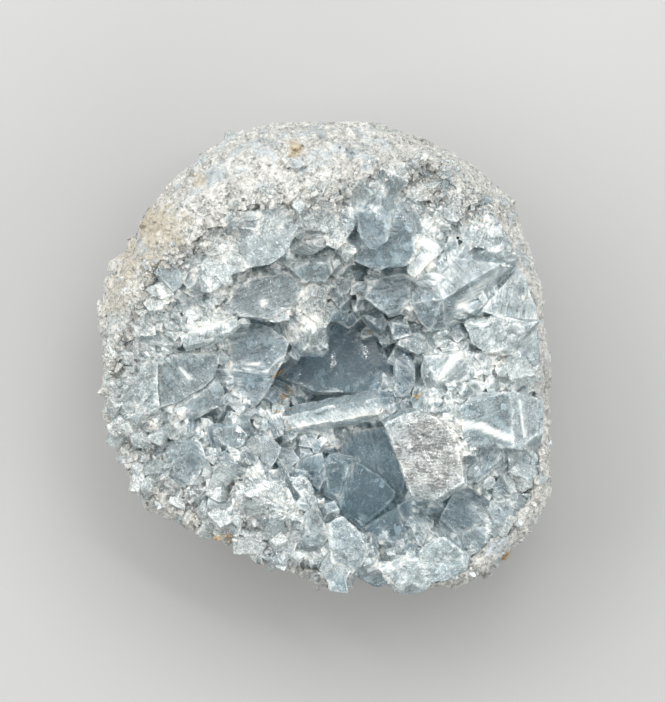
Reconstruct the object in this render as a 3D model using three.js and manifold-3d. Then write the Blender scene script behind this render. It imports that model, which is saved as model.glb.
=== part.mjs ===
// A celestite geode: half of a rounded nodule of pale rind, whose broken side is lined with one crust
// of blocky blue crystals. It lies on a small flat spot of its back, with the crystals facing up.
//
// Millimetres, +Z up, the origin at the centre of the flat spot, +X to the right and +Y to the far side
// for someone who looks down into the crystals.
import * as THREE from "three";
import { ConvexGeometry } from "three/addons/geometries/ConvexGeometry.js";
import { mergeVertices } from "three/addons/utils/BufferGeometryUtils.js";
import Module from "manifold-3d";

const wasm = await Module();
wasm.setup();

// ---------------------------------------------------------------- driving dimensions
const GIRTH_HEIGHT = 36; // height of the nodule's widest outline above the flat spot
const GAP = 0.3; // clearance between the crust and the rind that it grew on
const AROUND = 36; // corners in each ring of the rind
const BOWL_AROUND = 28; // corners in each ring of the hollow
const RIM_BLOCKS = 36; // small blocks along the rim
const LINING = 8; // thickness of the crust between its larger crystals
const HOLLOW_FLOOR = [6, -8, 15]; // deepest point of the hollow in the rind
const CRYSTAL_FOCUS = [6, -6, 100]; // crystals without a root of their own point at this place
const CRYSTAL_LENGTH = 30; // how far such a crystal reaches back from its face
const BEVEL = 1.3; // usual width of the small faces round a crystal's end

const RIND_COLOUR = 0xd9d8d0;
const CRYSTAL_COLOUR = 0x9fb4c0;

// The widest outline, anticlockwise from the right.
const OUTLINE = [
  [55.8, 0], [54.6, 9.6], [53.6, 19.6], [50.6, 29.3], [47.3, 39.4], [39.7, 47.0], [30.4, 52.4],
  [20.7, 56.5], [10.6, 59.6], [0, 59.2], [-10.6, 59.6], [-20.9, 57.0], [-29.9, 51.6], [-37.4, 44.6],
  [-44.4, 37.2], [-49.6, 28.6], [-54.6, 20.1], [-56, 11], [-55.2, 0], [-54.8, -9.7], [-52.7, -19.2],
  [-48.8, -28.3], [-43.7, -36.6], [-34.2, -40.6], [-25.6, -44.4], [-17.6, -48.4], [-9.4, -52.4],
  [0, -54.8], [9.3, -52.4], [20.5, -55.6], [32.6, -56.6], [43.2, -51.3], [51.5, -43.1],
  [56.9, -33], [56.2, -20.5], [55.6, -9.8],
];

// Rings of the nodule from the flat spot up: height, size against the outline, and centre.
const RINGS = [
  { z: 0, size: 0.41, centre: [0, -2] },
  { z: 2, size: 0.54, centre: [0, -2] },
  { z: 8, size: 0.72, centre: [0, -1] },
  { z: 15, size: 0.85, centre: [0, 0] },
  { z: 22, size: 0.935, centre: [0, 0] },
  { z: 29, size: 0.985, centre: [0, 0] },
  { z: GIRTH_HEIGHT, size: 1, centre: [0, 0] },
  { z: 43, size: 0.98, centre: [0, 0] },
  { z: 50, size: 0.925, centre: [-1, 2] },
  { z: 56, size: 0.8, centre: [-4, 8] },
  { z: 61, size: 0.61, centre: [-7, 17] },
  { z: 65, size: 0.36, centre: [-10, 28] },
  { z: 66.5, size: 0.15, centre: [-11, 33] },
];

// The edge of the hollow, anticlockwise from the right: where the crust ends and the rind shows.
const RIM = [
  [53, 0, 47], [51.5, 14, 48], [47, 29, 50.5], [38.5, 41, 53], [28, 48.5, 56], [18, 48.5, 60.5],
  [8, 44.5, 65], [-8, 39, 67.5], [-22, 38, 66], [-31, 30, 62.5], [-39.5, 24, 59], [-45.5, 13, 55],
  [-50.5, 4, 49.5], [-53.2, -8, 44.5], [-50.5, -20, 43.5], [-43.5, -32.5, 43.5], [-31.5, -39.5, 43.5],
  [-18, -45.5, 43], [-5, -50.5, 40], [11, -51, 32.5], [26, -52.5, 38.5], [41.5, -46.5, 43],
  [50.5, -36, 44], [53.5, -22, 45.5],
];

// Knobs and ledges that stand out of the rind: place and size.
const KNOBS = [
  [-4.3, 57.6, 38, 4], [1.2, 58.4, 38, 2.6], [5, 57.6, 41, 4], [10, 57, 40, 4.4], [19, 54, 46, 5],
  [30, 48, 50, 5.5], [42, 38, 47, 5], [50, 25, 42, 4.5], [-20, 54, 44, 5], [-36, 43, 44, 5],
  [-43.5, 25.5, 46, 4], [-24, 46, 56, 6], [-34, 36, 56, 6], [4, 52, 58, 6], [-12, 50, 60, 6.5],
  [-53, -14, 38, 4.5], [-39.5, -35, 37, 4.5], [-26.5, -42, 38, 4.5], [-13, -48.5, 38, 4],
  [52, -36, 37, 4], [44, -47, 38, 4.5], [31, -53, 38, 4], [53.5, -12, 38, 4], [-41, 21.5, 52, 5.5],
];

// ---------------------------------------------------------------- solids and noise
function solidFrom(geometry) {
  const bare = geometry.clone();
  bare.deleteAttribute("normal");
  bare.deleteAttribute("uv");
  const merged = mergeVertices(bare, 1e-4);
  return new wasm.Manifold(
    new wasm.Mesh({
      numProp: 3,
      vertProperties: merged.attributes.position.array,
      triVerts: new Uint32Array(merged.index.array),
    }),
  );
}

function meshFrom(solid, name, material) {
  const { vertProperties, triVerts } = solid.getMesh();
  const geometry = new THREE.BufferGeometry();
  geometry.setAttribute("position", new THREE.BufferAttribute(vertProperties, 3));
  geometry.setIndex(new THREE.BufferAttribute(triVerts, 1));
  geometry.computeVertexNormals();
  const mesh = new THREE.Mesh(geometry, material);
  mesh.name = name;
  return mesh;
}

// A number from 0 to 1 that depends only on the three whole numbers given.
function hash(i, j, k) {
  const s = Math.sin(i * 127.1 + j * 311.7 + k * 74.7) * 43758.5453;
  return s - Math.floor(s);
}

// Smooth noise from -1 to 1 with lumps about one unit across.
function noise(x, y, z) {
  const cell = [Math.floor(x), Math.floor(y), Math.floor(z)];
  const part = [x - cell[0], y - cell[1], z - cell[2]].map((t) => t * t * (3 - 2 * t));
  let sum = 0;
  for (let corner = 0; corner < 8; corner++) {
    const step = [corner & 1, (corner >> 1) & 1, corner >> 2];
    const weight = step.reduce((w, s, a) => w * (s ? part[a] : 1 - part[a]), 1);
    sum += weight * hash(cell[0] + step[0], cell[1] + step[1], cell[2] + step[2]);
  }
  return 2 * sum - 1;
}

function lumps(point, size) {
  return noise(point.x / size + 7.3, point.y / size + 2.1, point.z / size + 5.7);
}

// A seeded random number from 0 to 1, a new one at each call.
function dice(seed) {
  let count = 0;
  return () => hash(seed, ++count, seed * 0.5);
}

// A closed surface through rings of points, with a single point below the first and above the last.
function ringSolid(rings, bottom, top) {
  const count = rings[0].length;
  const corners = [bottom, ...rings.flat(), top];
  const last = corners.length - 1;
  const at = (ring, i) => 1 + ring * count + (i % count);
  const faces = [];
  for (let i = 0; i < count; i++) {
    faces.push(0, at(0, i + 1), at(0, i));
    for (let ring = 0; ring + 1 < rings.length; ring++) {
      faces.push(at(ring, i), at(ring, i + 1), at(ring + 1, i + 1));
      faces.push(at(ring, i), at(ring + 1, i + 1), at(ring + 1, i));
    }
    faces.push(last, at(rings.length - 1, i), at(rings.length - 1, i + 1));
  }
  const geometry = new THREE.BufferGeometry().setFromPoints(corners);
  geometry.setIndex(faces);
  return solidFrom(geometry);
}

function hull(points) {
  return solidFrom(new ConvexGeometry(points));
}

// ---------------------------------------------------------------- the rind
const outlineCurve = new THREE.CatmullRomCurve3(
  OUTLINE.map(([x, y]) => new THREE.Vector3(x, y, 0)),
  true,
  "centripetal",
);

function nodule() {
  const rings = RINGS.map(({ z, size, centre }) =>
    outlineCurve.getPoints(AROUND).slice(0, AROUND).map((edge) => {
      const point = new THREE.Vector3(centre[0] + edge.x * size, centre[1] + edge.y * size, z);
      if (z < 1) return point;
      const relief = z === GIRTH_HEIGHT ? 0 : 1.6 * lumps(point, 15) + 1.1 * lumps(point, 6);
      const outward = new THREE.Vector3(edge.x, edge.y, 1.2 * (z - GIRTH_HEIGHT)).normalize();
      return point.addScaledVector(outward, relief);
    }),
  );
  return ringSolid(rings, new THREE.Vector3(0, -2, 0), new THREE.Vector3(-11, 33, 67));
}

// A wide low ledge on the rind, lying along the surface at its place.
function ledge(place, size, random) {
  const outward = new THREE.Vector3(place.x, place.y, 1.2 * (place.z - GIRTH_HEIGHT)).normalize();
  const along = new THREE.Vector3(-outward.y, outward.x, 0).normalize();
  const across = outward.clone().cross(along);
  const corners = (count, radius, height) => Array.from({ length: count }, (_, i) => {
    const turn = ((i + 0.6 * random()) * 2 * Math.PI) / count;
    const reach = radius * (0.7 + 0.5 * random());
    return place.clone()
      .addScaledVector(along, reach * Math.cos(turn))
      .addScaledVector(across, reach * Math.sin(turn))
      .addScaledVector(outward, height * (0.6 + 0.4 * random()));
  });
  return hull([...corners(5, 0.6 * size, 0.38 * size), ...corners(6, 1.25 * size, -0.5 * size)]);
}

function rindKnobs() {
  const random = dice(11);
  const placed = KNOBS.map(([x, y, z, size]) => ledge(new THREE.Vector3(x, y, z), size, random));
  const lower = [];
  for (let i = 0; i < 12; i++) {
    const edge = outlineCurve.getPoint(random());
    const level = RINGS[2 + Math.floor(random() * 5)];
    const place = new THREE.Vector3(edge.x, edge.y, 0).multiplyScalar(level.size * 0.985);
    place.z = level.z + 4 * random();
    lower.push(ledge(place, 4 + 4 * random(), random));
  }
  return [...placed, ...lower];
}

// The steep pale face at the left edge, where the rind broke along a flat plane.
function leftFace() {
  const front = [[-56.6, 15, 38], [-46, 17.5, 52], [-45, 12.5, 52.5], [-46.5, 7.5, 51.5],
    [-49.8, 2, 49], [-54, 2, 43], [-55, 6.3, 41.5], [-56.8, 11.3, 38.5]];
  const shown = front.map((c) => new THREE.Vector3(...c));
  return hull([...shown, ...shown.map((p) => new THREE.Vector3(0.78 * p.x, 0.8 * p.y, p.z - 14))]);
}

// ---------------------------------------------------------------- the hollow
const rimCurve = new THREE.CatmullRomCurve3(
  RIM.map(([x, y, z]) => new THREE.Vector3(x, y, z)),
  true,
  "centripetal",
);
const rimPoints = rimCurve.getPoints(BOWL_AROUND).slice(0, BOWL_AROUND);

// A ring of the hollow's wall at a share of the way from its floor to its rim, moved in by inset.
function wallRing(share, inset) {
  const floor = new THREE.Vector3(...HOLLOW_FLOOR);
  return rimPoints.map((rim) => {
    const run = new THREE.Vector2(rim.x - floor.x, rim.y - floor.y);
    const steep = 3; // the wall climbs with this power of the way out
    const rise = (rim.z - floor.z) * share ** steep;
    const slope = (steep * (rim.z - floor.z) * Math.max(share, 0.05) ** (steep - 1)) / run.length();
    const inward = inset / Math.hypot(1, slope);
    const out = share * run.length() - inward * slope;
    run.setLength(Math.max(out, 0.4));
    return new THREE.Vector3(floor.x + run.x, floor.y + run.y, floor.z + rise + inward);
  });
}

// The whole space over the rind's hollow: its walls, then a wide funnel that opens above the rim.
function hollow(inset) {
  const rings = [0.2, 0.4, 0.58, 0.74, 0.88, 1].map((share) => wallRing(share, inset));
  const funnel = rimPoints.map((rim) => {
    const out = new THREE.Vector2(rim.x, rim.y).setLength(15);
    return new THREE.Vector3(rim.x + out.x, rim.y + out.y, rim.z + 18 + inset);
  });
  const lid = funnel.map((p) => new THREE.Vector3(p.x, p.y, 110));
  const floor = new THREE.Vector3(...HOLLOW_FLOOR);
  const bottom = floor.clone().setZ(floor.z + inset);
  return ringSolid([...rings, funnel, lid], bottom, floor.clone().setZ(111));
}

// The crust between the larger crystals: a skin on the hollow's wall, rough on its open side.
function lining() {
  const shares = [0.25, 0.5, 0.72, 0.88, 0.98];
  const back = shares.map((share) => wallRing(share, -1));
  const front = shares.toReversed().map((share) =>
    wallRing(share, LINING * (1.15 - 0.95 * share ** 4)).map((point) => {
      const rough = 1.6 * lumps(point, 4);
      return point.add(new THREE.Vector3(0, 0, rough));
    }),
  );
  const floor = new THREE.Vector3(...HOLLOW_FLOOR);
  return ringSolid(
    [...back, ...front],
    floor.clone().setZ(floor.z - 1),
    floor.clone().setZ(floor.z + LINING),
  );
}

// ---------------------------------------------------------------- crystals
// A crystal's face: its outline seen from above, its height at the middle, and how it slopes.
function face(outline, z, slope = [0, 0]) {
  const middle = outline.reduce((m, p) => [m[0] + p[0], m[1] + p[1]], [0, 0])
    .map((sum) => sum / outline.length);
  return outline.map(([x, y]) =>
    new THREE.Vector3(x, y, z + slope[0] * (x - middle[0]) + slope[1] * (y - middle[1])));
}

// A blocky crystal: the faces that show, small faces round them, and a root further back in the crust.
function crystal(shown, { root, spread = 1.1, bevel = BEVEL } = {}) {
  const points = shown.flat();
  const middle = points.reduce((m, p) => m.add(p), new THREE.Vector3()).divideScalar(points.length);
  const focus = new THREE.Vector3(...CRYSTAL_FOCUS);
  const back = root
    ? new THREE.Vector3(...root)
    : middle.clone().sub(focus).setLength(CRYSTAL_LENGTH).add(middle);
  const away = back.clone().sub(middle).normalize();
  const rooted = points.filter((_, i) => i % 2 === 0)
    .map((p) => p.clone().sub(middle).multiplyScalar(spread).add(back));
  if (bevel === 0) return hull([...points, ...rooted]);
  const beveled = points.flatMap((p) => {
    const outward = p.clone().sub(middle);
    outward.addScaledVector(away, -outward.dot(away)).normalize();
    const cut = bevel * (0.5 + hash(p.x, p.y, p.z));
    const top = p.clone().addScaledVector(outward, -0.35 * cut);
    const shoulder = p.clone().addScaledVector(outward, 0.65 * cut).addScaledVector(away, 1.5 * cut);
    return [top, shoulder];
  });
  return hull([...beveled, ...rooted]);
}

// A crystal given by its shown corners alone.
function pointed(corners, options) {
  return crystal([corners.map((c) => new THREE.Vector3(...c))], options);
}

// A long crystal that lies across others: a six-sided bar with a wedge at its free end.
function bar(from, to, wide, high) {
  const start = new THREE.Vector3(...from);
  const end = new THREE.Vector3(...to);
  const along = end.clone().sub(start).normalize();
  const side = new THREE.Vector3(0, 0, 1).cross(along).normalize();
  const up = along.clone().cross(side);
  const section = [[1, 0.2], [0.45, 1], [-0.5, 0.95], [-1, -0.1], [-0.5, -1], [0.5, -0.9]];
  const corners = (place, size) => section.map(([s, u]) =>
    place.clone().addScaledVector(side, s * wide * size).addScaledVector(up, u * high * size));
  const tip = end.clone().addScaledVector(along, high * 0.8);
  return hull([...corners(start, 1), ...corners(end, 1), ...corners(tip, 0.45)]);
}

const deepCrystals = () => [
  // the dark block at the bottom of the hollow, and the long bar that lies below it
  crystal([face([[-6, 0.75], [2.75, 10.5], [5.25, 10.5], [11, 5.75], [16, 2], [17, -3], [16.75, -8.5],
    [11, -7], [-2.25, -8.5], [-12.25, -4]], 30, [0.06, -0.12])]),
  bar([-9.5, -15.8, 34], [14.6, -10.9, 35.5], 3.9, 4.2),
  crystal([face([[16.25, -10], [23, -9.75], [24.75, -11.75], [15, -15.25]], 37)]),
  crystal([face([[-4.25, -21], [8.25, -17.5], [15, -16.25], [19.5, -24.5], [21, -28.25],
    [19.75, -34.5], [13.25, -28.25], [7.5, -24]], 31, [0.02, 0.12])]),
  crystal([face([[-7.25, -25], [-0.5, -23], [0.25, -29.5], [-1.5, -32.5], [-6, -28.75]], 35, [0, 0.1])]),
  crystal([face([[-0.5, -25], [2, -23], [7.75, -24.5], [5.25, -31.25], [3.5, -34.75], [0.25, -32.5]],
    34, [-0.15, 0.2])]),
  crystal([face([[3.25, -34.5], [7.5, -24.75], [13.25, -28.25], [18.5, -33], [18, -35], [9.5, -42],
    [3.75, -37]], 33, [0.12, 0.1])]),
  crystal([face([[9.5, -42], [17.75, -36.75], [21.75, -45.25], [19, -47], [10, -50]], 37, [0, 0.2])],
    { bevel: 0.7 }),
  crystal([face([[18, -36.25], [21.75, -34], [27, -35.25], [29.25, -39.25], [28.25, -44.75],
    [25.25, -47], [21.75, -45.25]], 35.5, [-0.12, 0.1])], { bevel: 0.7 }),
  crystal([face([[17.5, 0.5], [20.25, 2], [22.75, -1.25], [22.75, -6.25], [21, -9.25],
    [17.25, -9.5]], 38, [0.1, 0])]),
  crystal([face([[19.5, 7], [23.5, 7.5], [27.25, 4.75], [26, 2.5], [24, 1], [20.25, 2.5],
    [18, 3.75]], 41, [0.1, -0.1])]),
  crystal([face([[23.5, -8], [29, -9.5], [28.5, -13.75], [25.25, -12]], 41)]),
];

const leftCrystals = () => [
  // two faces that meet in a level ridge, left of the dark block
  crystal([
    face([[-24, 10], [-14.75, 8.75], [-8.5, 5], [-9, 2], [-14, -3], [-23.5, -1.5]], 43, [0.04, 0.02]),
    face([[-24.5, -3], [-14, -3.5], [-13.5, -7], [-17.25, -12], [-21, -13.5], [-24.5, -11.5]],
      40.6, [0, 0.28]),
  ]),
  // the blunt pyramid that leans out over the dark block
  pointed([[-2.75, 7.25, 50.5], [-9.25, 9.5, 45.5], [-4.25, 12, 48], [0.25, 14.5, 47], [1.25, 9.5, 46.5],
    [1, 2.5, 44], [-0.5, 0.75, 43], [-5.5, 1.25, 43.5], [-8.25, 4.75, 44.5]], { spread: 0.7 }),
  crystal([face([[-41, -0.5], [-35.5, 2], [-25, 2], [-25.75, -0.5], [-28, -5], [-31.75, -7.75],
    [-35, -10], [-40.5, -12]], 46, [0.02, 0.08])]),
  crystal([face([[-35, -10.5], [-26.5, -4.5], [-24.5, -7.5], [-25, -11], [-31, -13.75],
    [-34.75, -13]], 44.5, [0, 0.25])]),
  crystal([face([[-46.25, 8.5], [-38, 9.5], [-34.75, 7.25], [-35, 3.25], [-38, 3.5],
    [-43.25, 4.5]], 49.5, [0.02, 0.15])]),
  crystal([face([[-43.5, 18.75], [-37.25, 21.25], [-29.75, 17.5], [-29.75, 13.75], [-36, 12],
    [-42.25, 13.75]], 52, [0.05, 0.2])]),
  bar([-35, 4.8, 49.5], [-23.5, 8.8, 51], 3, 2.8),
  crystal([face([[-42.25, 17.5], [-39.75, 18.75], [-38.25, 15], [-39.75, 13], [-43, 13]], 54)]),
  crystal([face([[-48.75, -0.5], [-41.25, -0.5], [-40.75, -12], [-43.5, -14], [-48.25, -12],
    [-50, -9.5]], 48, [0.15, 0])]),
  crystal([face([[-54, 3.75], [-49, 5], [-49.5, -1.25], [-51.5, -10], [-54, -8.75],
    [-54.5, -2.5]], 45, [0.3, 0])]),
  crystal([face([[-53.5, -10.5], [-49, -10.5], [-46, -13], [-49, -16.25], [-52.5, -14.5]], 45, [0.2, 0])]),
];

const upperCrystals = () => [
  crystal([face([[-43.5, 24.5], [-38, 28], [-32, 28.3], [-29.8, 24.5], [-30.3, 19.3], [-34.8, 17],
    [-40.5, 18.8]], 55.5, [-0.05, 0.35])]),
  crystal([face([[-9, 37], [-1.5, 39.5], [2, 36], [0.5, 30], [-4.8, 29.5], [-7, 31.5]],
    62.5, [0, 0.25])]),
  // the large frosted crystal that leans out at the upper left, in two lobes
  crystal([face([[-18.5, 22.25], [-14.25, 23], [-9.75, 25.75], [-7, 29.75], [-7.5, 33.75],
    [-9.75, 36.5], [-14.25, 39.5], [-17.25, 39.25], [-21, 34.5], [-21.5, 26.25]], 64.5, [0.06, 0.1])]),
  crystal([face([[-30.25, 23.5], [-28.25, 16.5], [-24, 19], [-18, 23], [-15.5, 30], [-21, 36.25],
    [-27.25, 30]], 62, [0.16, 0.12])]),
  crystal([face([[-8, 27], [-6, 29.5], [-1.5, 29.25], [-0.25, 27.5], [-3, 25.5], [-6.5, 25.75]],
    60, [0, 0.3])]),
  crystal([face([[0.25, 27.75], [1.5, 34.5], [4, 37], [7, 36.5], [7.25, 32.5], [5.5, 28.5],
    [2.75, 27]], 63, [0, 0.1])]),
  crystal([face([[6, 40], [7, 43.75], [9.5, 44.75], [12.75, 43.25], [14.25, 40], [14.75, 38],
    [12, 38.5], [9.5, 37.25], [6.5, 38.25]], 63, [-0.05, 0.05])]),
  crystal([face([[8, 36.75], [10, 37.5], [13.25, 36.75], [15.5, 34.5], [16.25, 31.25], [15.5, 28.75],
    [11.5, 27], [8.5, 30]], 63, [0, 0.12])]),
  crystal([face([[13.25, 43.5], [16.25, 41.25], [19, 37.25], [21.25, 34.25], [22.75, 31],
    [23.25, 26.5], [20.25, 23], [14, 22.25], [9.5, 23], [7.5, 24.5], [9, 36.25]], 58.5, [0, 0.14])]),
  crystal([face([[2.75, 23], [7.5, 23], [7.5, 18.75], [6.5, 15], [4, 12.5], [1.5, 15], [1, 20]],
    46, [-0.2, 0.3])]),
  // grey frosted masses under the large crystal
  crystal([face([[-23, 17.5], [-15.5, 21.25], [-8.5, 22.5], [-4.75, 18.75], [-6.5, 13.75],
    [-13.5, 9.5], [-21, 10.5], [-24, 13.75]], 51.5, [0, 0.18])]),
  crystal([face([[-7, 17.5], [-3, 20], [1, 17.5], [0.5, 12.5], [-4, 11], [-7.5, 13.5]], 51, [0, 0.15])]),
  crystal([face([[-8.5, 22.5], [-4.75, 24.5], [1.5, 24.5], [2.75, 22], [0.25, 19.5], [-6, 19.5]],
    56, [0, 0.25])]),
];

const rightCrystals = () => [
  crystal([face([[10.5, 19.75], [19, 21.75], [21.5, 21.25], [22, 17.5], [21, 14.25], [19, 11.75],
    [16, 10.5], [13, 12.75], [10, 15.5]], 49, [0.1, 0.12])], { spread: 1.2 }),
  crystal([face([[23, 30], [25.25, 30.5], [27, 28.75], [28.25, 26.5], [25.25, 23.5], [22.5, 20.25],
    [20.25, 21.75], [23.5, 25.75]], 56, [-0.1, 0.05])], { bevel: 0.6 }),
  // the large block with a bright ridge across it
  pointed([[29, 15.5, 55.5], [44, 23.75, 56], [28.5, 26.5, 52], [44, 26.75, 52.5], [46.75, 24.75, 53],
    [47.25, 22.5, 50.5], [36.5, 12, 49.5], [30.5, 7.25, 48], [26.5, 7.25, 47.5], [23.5, 10, 48],
    [20.75, 14.25, 48.5], [23.5, 19, 50.5]]),
  // a three-sided tip with one dark side
  pointed([[23.5, 37.25, 52.5], [29.25, 40.75, 53.5], [32.25, 39.75, 56.5], [32.25, 34.25, 56.5],
    [29.25, 32.25, 51.5], [36.25, 39, 53], [34, 35.5, 52]], { spread: 1.15 }),
  crystal([face([[34.5, 34.5], [41.5, 36.25], [45.25, 31.25], [44, 27], [36.5, 27.5],
    [32.75, 30.5]], 52.5, [-0.05, 0])]),
  crystal([face([[36.5, 42.5], [41, 41.25], [43.5, 36.25], [40.25, 36.25], [36.5, 38]], 53.5)]),
  crystal([face([[45.25, 31.25], [48, 29.5], [51, 22.5], [47.75, 24.5], [44.75, 27]], 50.5, [-0.2, 0])]),
  crystal([face([[47.25, 22], [51.5, 21.25], [53.5, 12.5], [51, 9], [44, 10.5], [38.5, 12],
    [42.75, 17]], 50.5, [-0.12, 0])]),
  crystal([face([[19, 48.75], [26.5, 50], [31.5, 46.25], [29, 41.25], [23.5, 38.75],
    [20.25, 42.5]], 57, [-0.1, 0])]),
  crystal([face([[34.75, 9.25], [42.75, 9.75], [50.75, 8.75], [49.25, 6.5], [45.5, 2.75],
    [43.5, 1.25], [39.75, 1.5], [36.5, 4.25]], 52.5, [0, 0.12])]),
  crystal([face([[50.75, 8], [53.25, 6.5], [55, 4], [55.25, -0.25], [54, -1.75], [48, -2.25],
    [46.5, -0.75], [48, 2.75]], 50, [-0.2, 0])]),
  crystal([face([[37, 1.75], [42.75, 1.75], [44, -0.5], [42.25, -2.25], [38.5, -1.25]], 49.5)]),
  // a striped crystal with a raised bright band
  pointed([[24.25, 1.25, 46], [29, 2.5, 47.5], [33.5, 1.75, 50.5], [36.5, 0, 49], [40.25, -2.5, 48.5],
    [42.75, -5.25, 48], [39, -6.5, 47.5], [35, -8, 47], [32.75, -8.75, 46.5], [25.75, -8.5, 45],
    [28.25, -5.25, 49.5], [23.75, -4, 45.5]]),
  // a square block: one wide face to the front, one narrow face down to the rim
  pointed([[33.5, -11.75, 51.5], [36.75, -8, 52], [46.3, -7.75, 54], [47.5, -21.8, 52.3],
    [34.3, -20.8, 50.3], [53, -10.25, 49.5], [53.4, -18, 48.5], [50.75, -20.25, 49]], { bevel: 0.8 }),
  crystal([face([[28.75, -11], [33.5, -10], [34.25, -21], [32.75, -19.25], [28.75, -14.25]], 43.5)]),
];

const lowerRightCrystals = () => [
  // the flat frosted face with many sides
  crystal([face([[15, -15.75], [19, -13.25], [23, -12], [29, -14.75], [32.75, -19], [34.75, -27],
    [34.75, -30.5], [27.5, -35.25], [21.75, -34], [20.75, -27.75], [18, -21.25]], 51, [0.06, 0.05])],
    { root: [27, -26, 18], spread: 0.8 }),
  crystal([face([[33.5, -21.5], [45.25, -21.75], [43.25, -25], [37.5, -29.5], [33.5, -28.75]],
    46, [0.1, -0.1])]),
  crystal([face([[45.75, -22], [51.5, -21], [53.7, -27.5], [50.25, -29.5], [45.25, -27.5]], 47, [-0.1, 0])]),
  crystal([face([[28.5, -39.75], [30.5, -35], [33, -31.75], [41.5, -31], [41.75, -33.5],
    [40.75, -39.5], [37.5, -41.5], [33.5, -43.75]], 41, [0.16, 0.06])]),
  crystal([face([[34, -42.25], [41.5, -41], [40.5, -45.5], [37.5, -48], [34.5, -46.5]], 42.5, [0.1, -0.1])]),
  crystal([face([[44, -28.5], [48.25, -33.5], [46, -34.5], [42, -34], [41.5, -31.25]], 45.5)]),
  crystal([face([[41, -35], [46, -34.5], [47.5, -36.25], [46, -39.75], [42.25, -40.25],
    [40.75, -38]], 44.5)]),
  crystal([face([[23, -48], [27.25, -44], [30.25, -43.5], [34.5, -47.5], [34.75, -50.75],
    [29, -54], [25.25, -55.5]], 46, [0.05, 0.15])]),
  // the rounded knob on the lower edge
  pointed([[16, -55.5, 45], [16.5, -52, 46.5], [20, -50.8, 47], [24, -52, 47], [26, -57, 45.5],
    [25.5, -58.5, 44], [22.5, -59.8, 43], [18.5, -59.3, 43], [19, -53.5, 49.5], [22, -53.5, 49.5],
    [23, -56, 49], [19.5, -57, 48.5]], { root: [20.5, -50, 30], spread: 0.9 }),
  crystal([face([[9.75, -51.75], [16.25, -51.75], [15.75, -56.8], [13.75, -57.5], [10.75, -54.5]],
    42, [0, 0.2])], { root: [13.5, -47.5, 28], spread: 0.9 }),
];

const lowerLeftCrystals = () => [
  crystal([face([[1, -40.25], [4.5, -38.25], [9.5, -42.5], [10.5, -46], [8.5, -50.5],
    [2, -49]], 49, [-0.05, 0.1])]),
  crystal([face([[2, -48.5], [9, -50.5], [6, -58.3], [1.25, -57.5], [-0.5, -53.75]], 46.5, [0, 0.2])],
    { root: [3, -44, 34] }),
  crystal([face([[-9.25, -29], [-5.75, -28.25], [-3, -30.5], [-1.5, -35], [-0.25, -38.75],
    [-4, -38], [-6.5, -35]], 47, [-0.1, 0.05])]),
  crystal([face([[-3, -35], [-0.5, -38.75], [1, -42.5], [-1, -45], [-4.5, -43.75],
    [-5.25, -40]], 49, [-0.1, 0.1])]),
  crystal([face([[-21.5, -30.5], [-9.75, -29.5], [-6.5, -36.25], [-10, -40.5], [-17.25, -39.5]],
    49, [0.08, 0.12])]),
  crystal([face([[-25, -37], [-21, -34], [-19.5, -39], [-21.5, -44], [-25.5, -42.5]], 49, [0.2, 0.1])]),
  crystal([face([[-38, -20.5], [-31, -19.5], [-28.5, -25.5], [-33, -31.5], [-37.5, -29]],
    46, [0.14, 0.1])]),
  crystal([face([[-52.5, -12.5], [-48, -10.8], [-44.5, -14], [-46.5, -18], [-50.5, -18.3]],
    47.5, [0.1, 0.05])], { bevel: 2.2 }),
  crystal([face([[-28, -16.3], [-21.5, -15.5], [-18.5, -18.5], [-20.5, -22.5], [-26, -22]],
    42.5, [-0.1, -0.05])], { bevel: 2 }),
  crystal([face([[-18, -26.3], [-15.3, -25.8], [-14.6, -29.3], [-17.3, -31.3], [-19.3, -28.5]],
    48.5, [0.1, 0.2])], { bevel: 0.8 }),
];

// A patch of the crust that broke into many small blocks: its outline, height and slope, and how
// coarsely it broke.
function rubble(outline, z, slope, size, seed) {
  const patch = new THREE.Box2().setFromPoints(outline.map(([x, y]) => new THREE.Vector2(x, y)));
  const middle = patch.getCenter(new THREE.Vector2());
  const random = dice(seed);
  const blocks = [];
  for (let x = patch.min.x; x < patch.max.x; x += size)
    for (let y = patch.min.y; y < patch.max.y; y += size) {
      const place = new THREE.Vector2(x + size * random(), y + size * random());
      const level = z + slope[0] * (place.x - middle.x) + slope[1] * (place.y - middle.y);
      const tilt = [0.9 * random() - 0.45, 0.9 * random() - 0.35];
      const block = brokenBlock(place, level - 2.4 * random(), tilt, size * (0.5 + 0.35 * random()), random);
      if (inside(outline, place)) blocks.push(block);
    }
  return blocks;
}

// One small block of such a patch: a slanting face with four corners.
function brokenBlock(place, z, tilt, radius, random) {
  const start = random();
  const outline = [0, 1, 2, 3].map((i) => {
    const turn = ((start + i + 0.5 * random()) * Math.PI) / 2;
    const reach = radius * (0.8 + 0.5 * random());
    return [place.x + reach * Math.cos(turn), place.y + reach * Math.sin(turn)];
  });
  return crystal([face(outline, z, tilt)], { bevel: 0, spread: 1.4 });
}

function inside(outline, { x, y }) {
  let crossings = 0;
  outline.forEach(([ax, ay], i) => {
    const [bx, by] = outline[(i + 1) % outline.length];
    if (ay > y !== by > y && x < ax + ((y - ay) / (by - ay)) * (bx - ax)) crossings++;
  });
  return crossings % 2 === 1;
}

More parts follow.
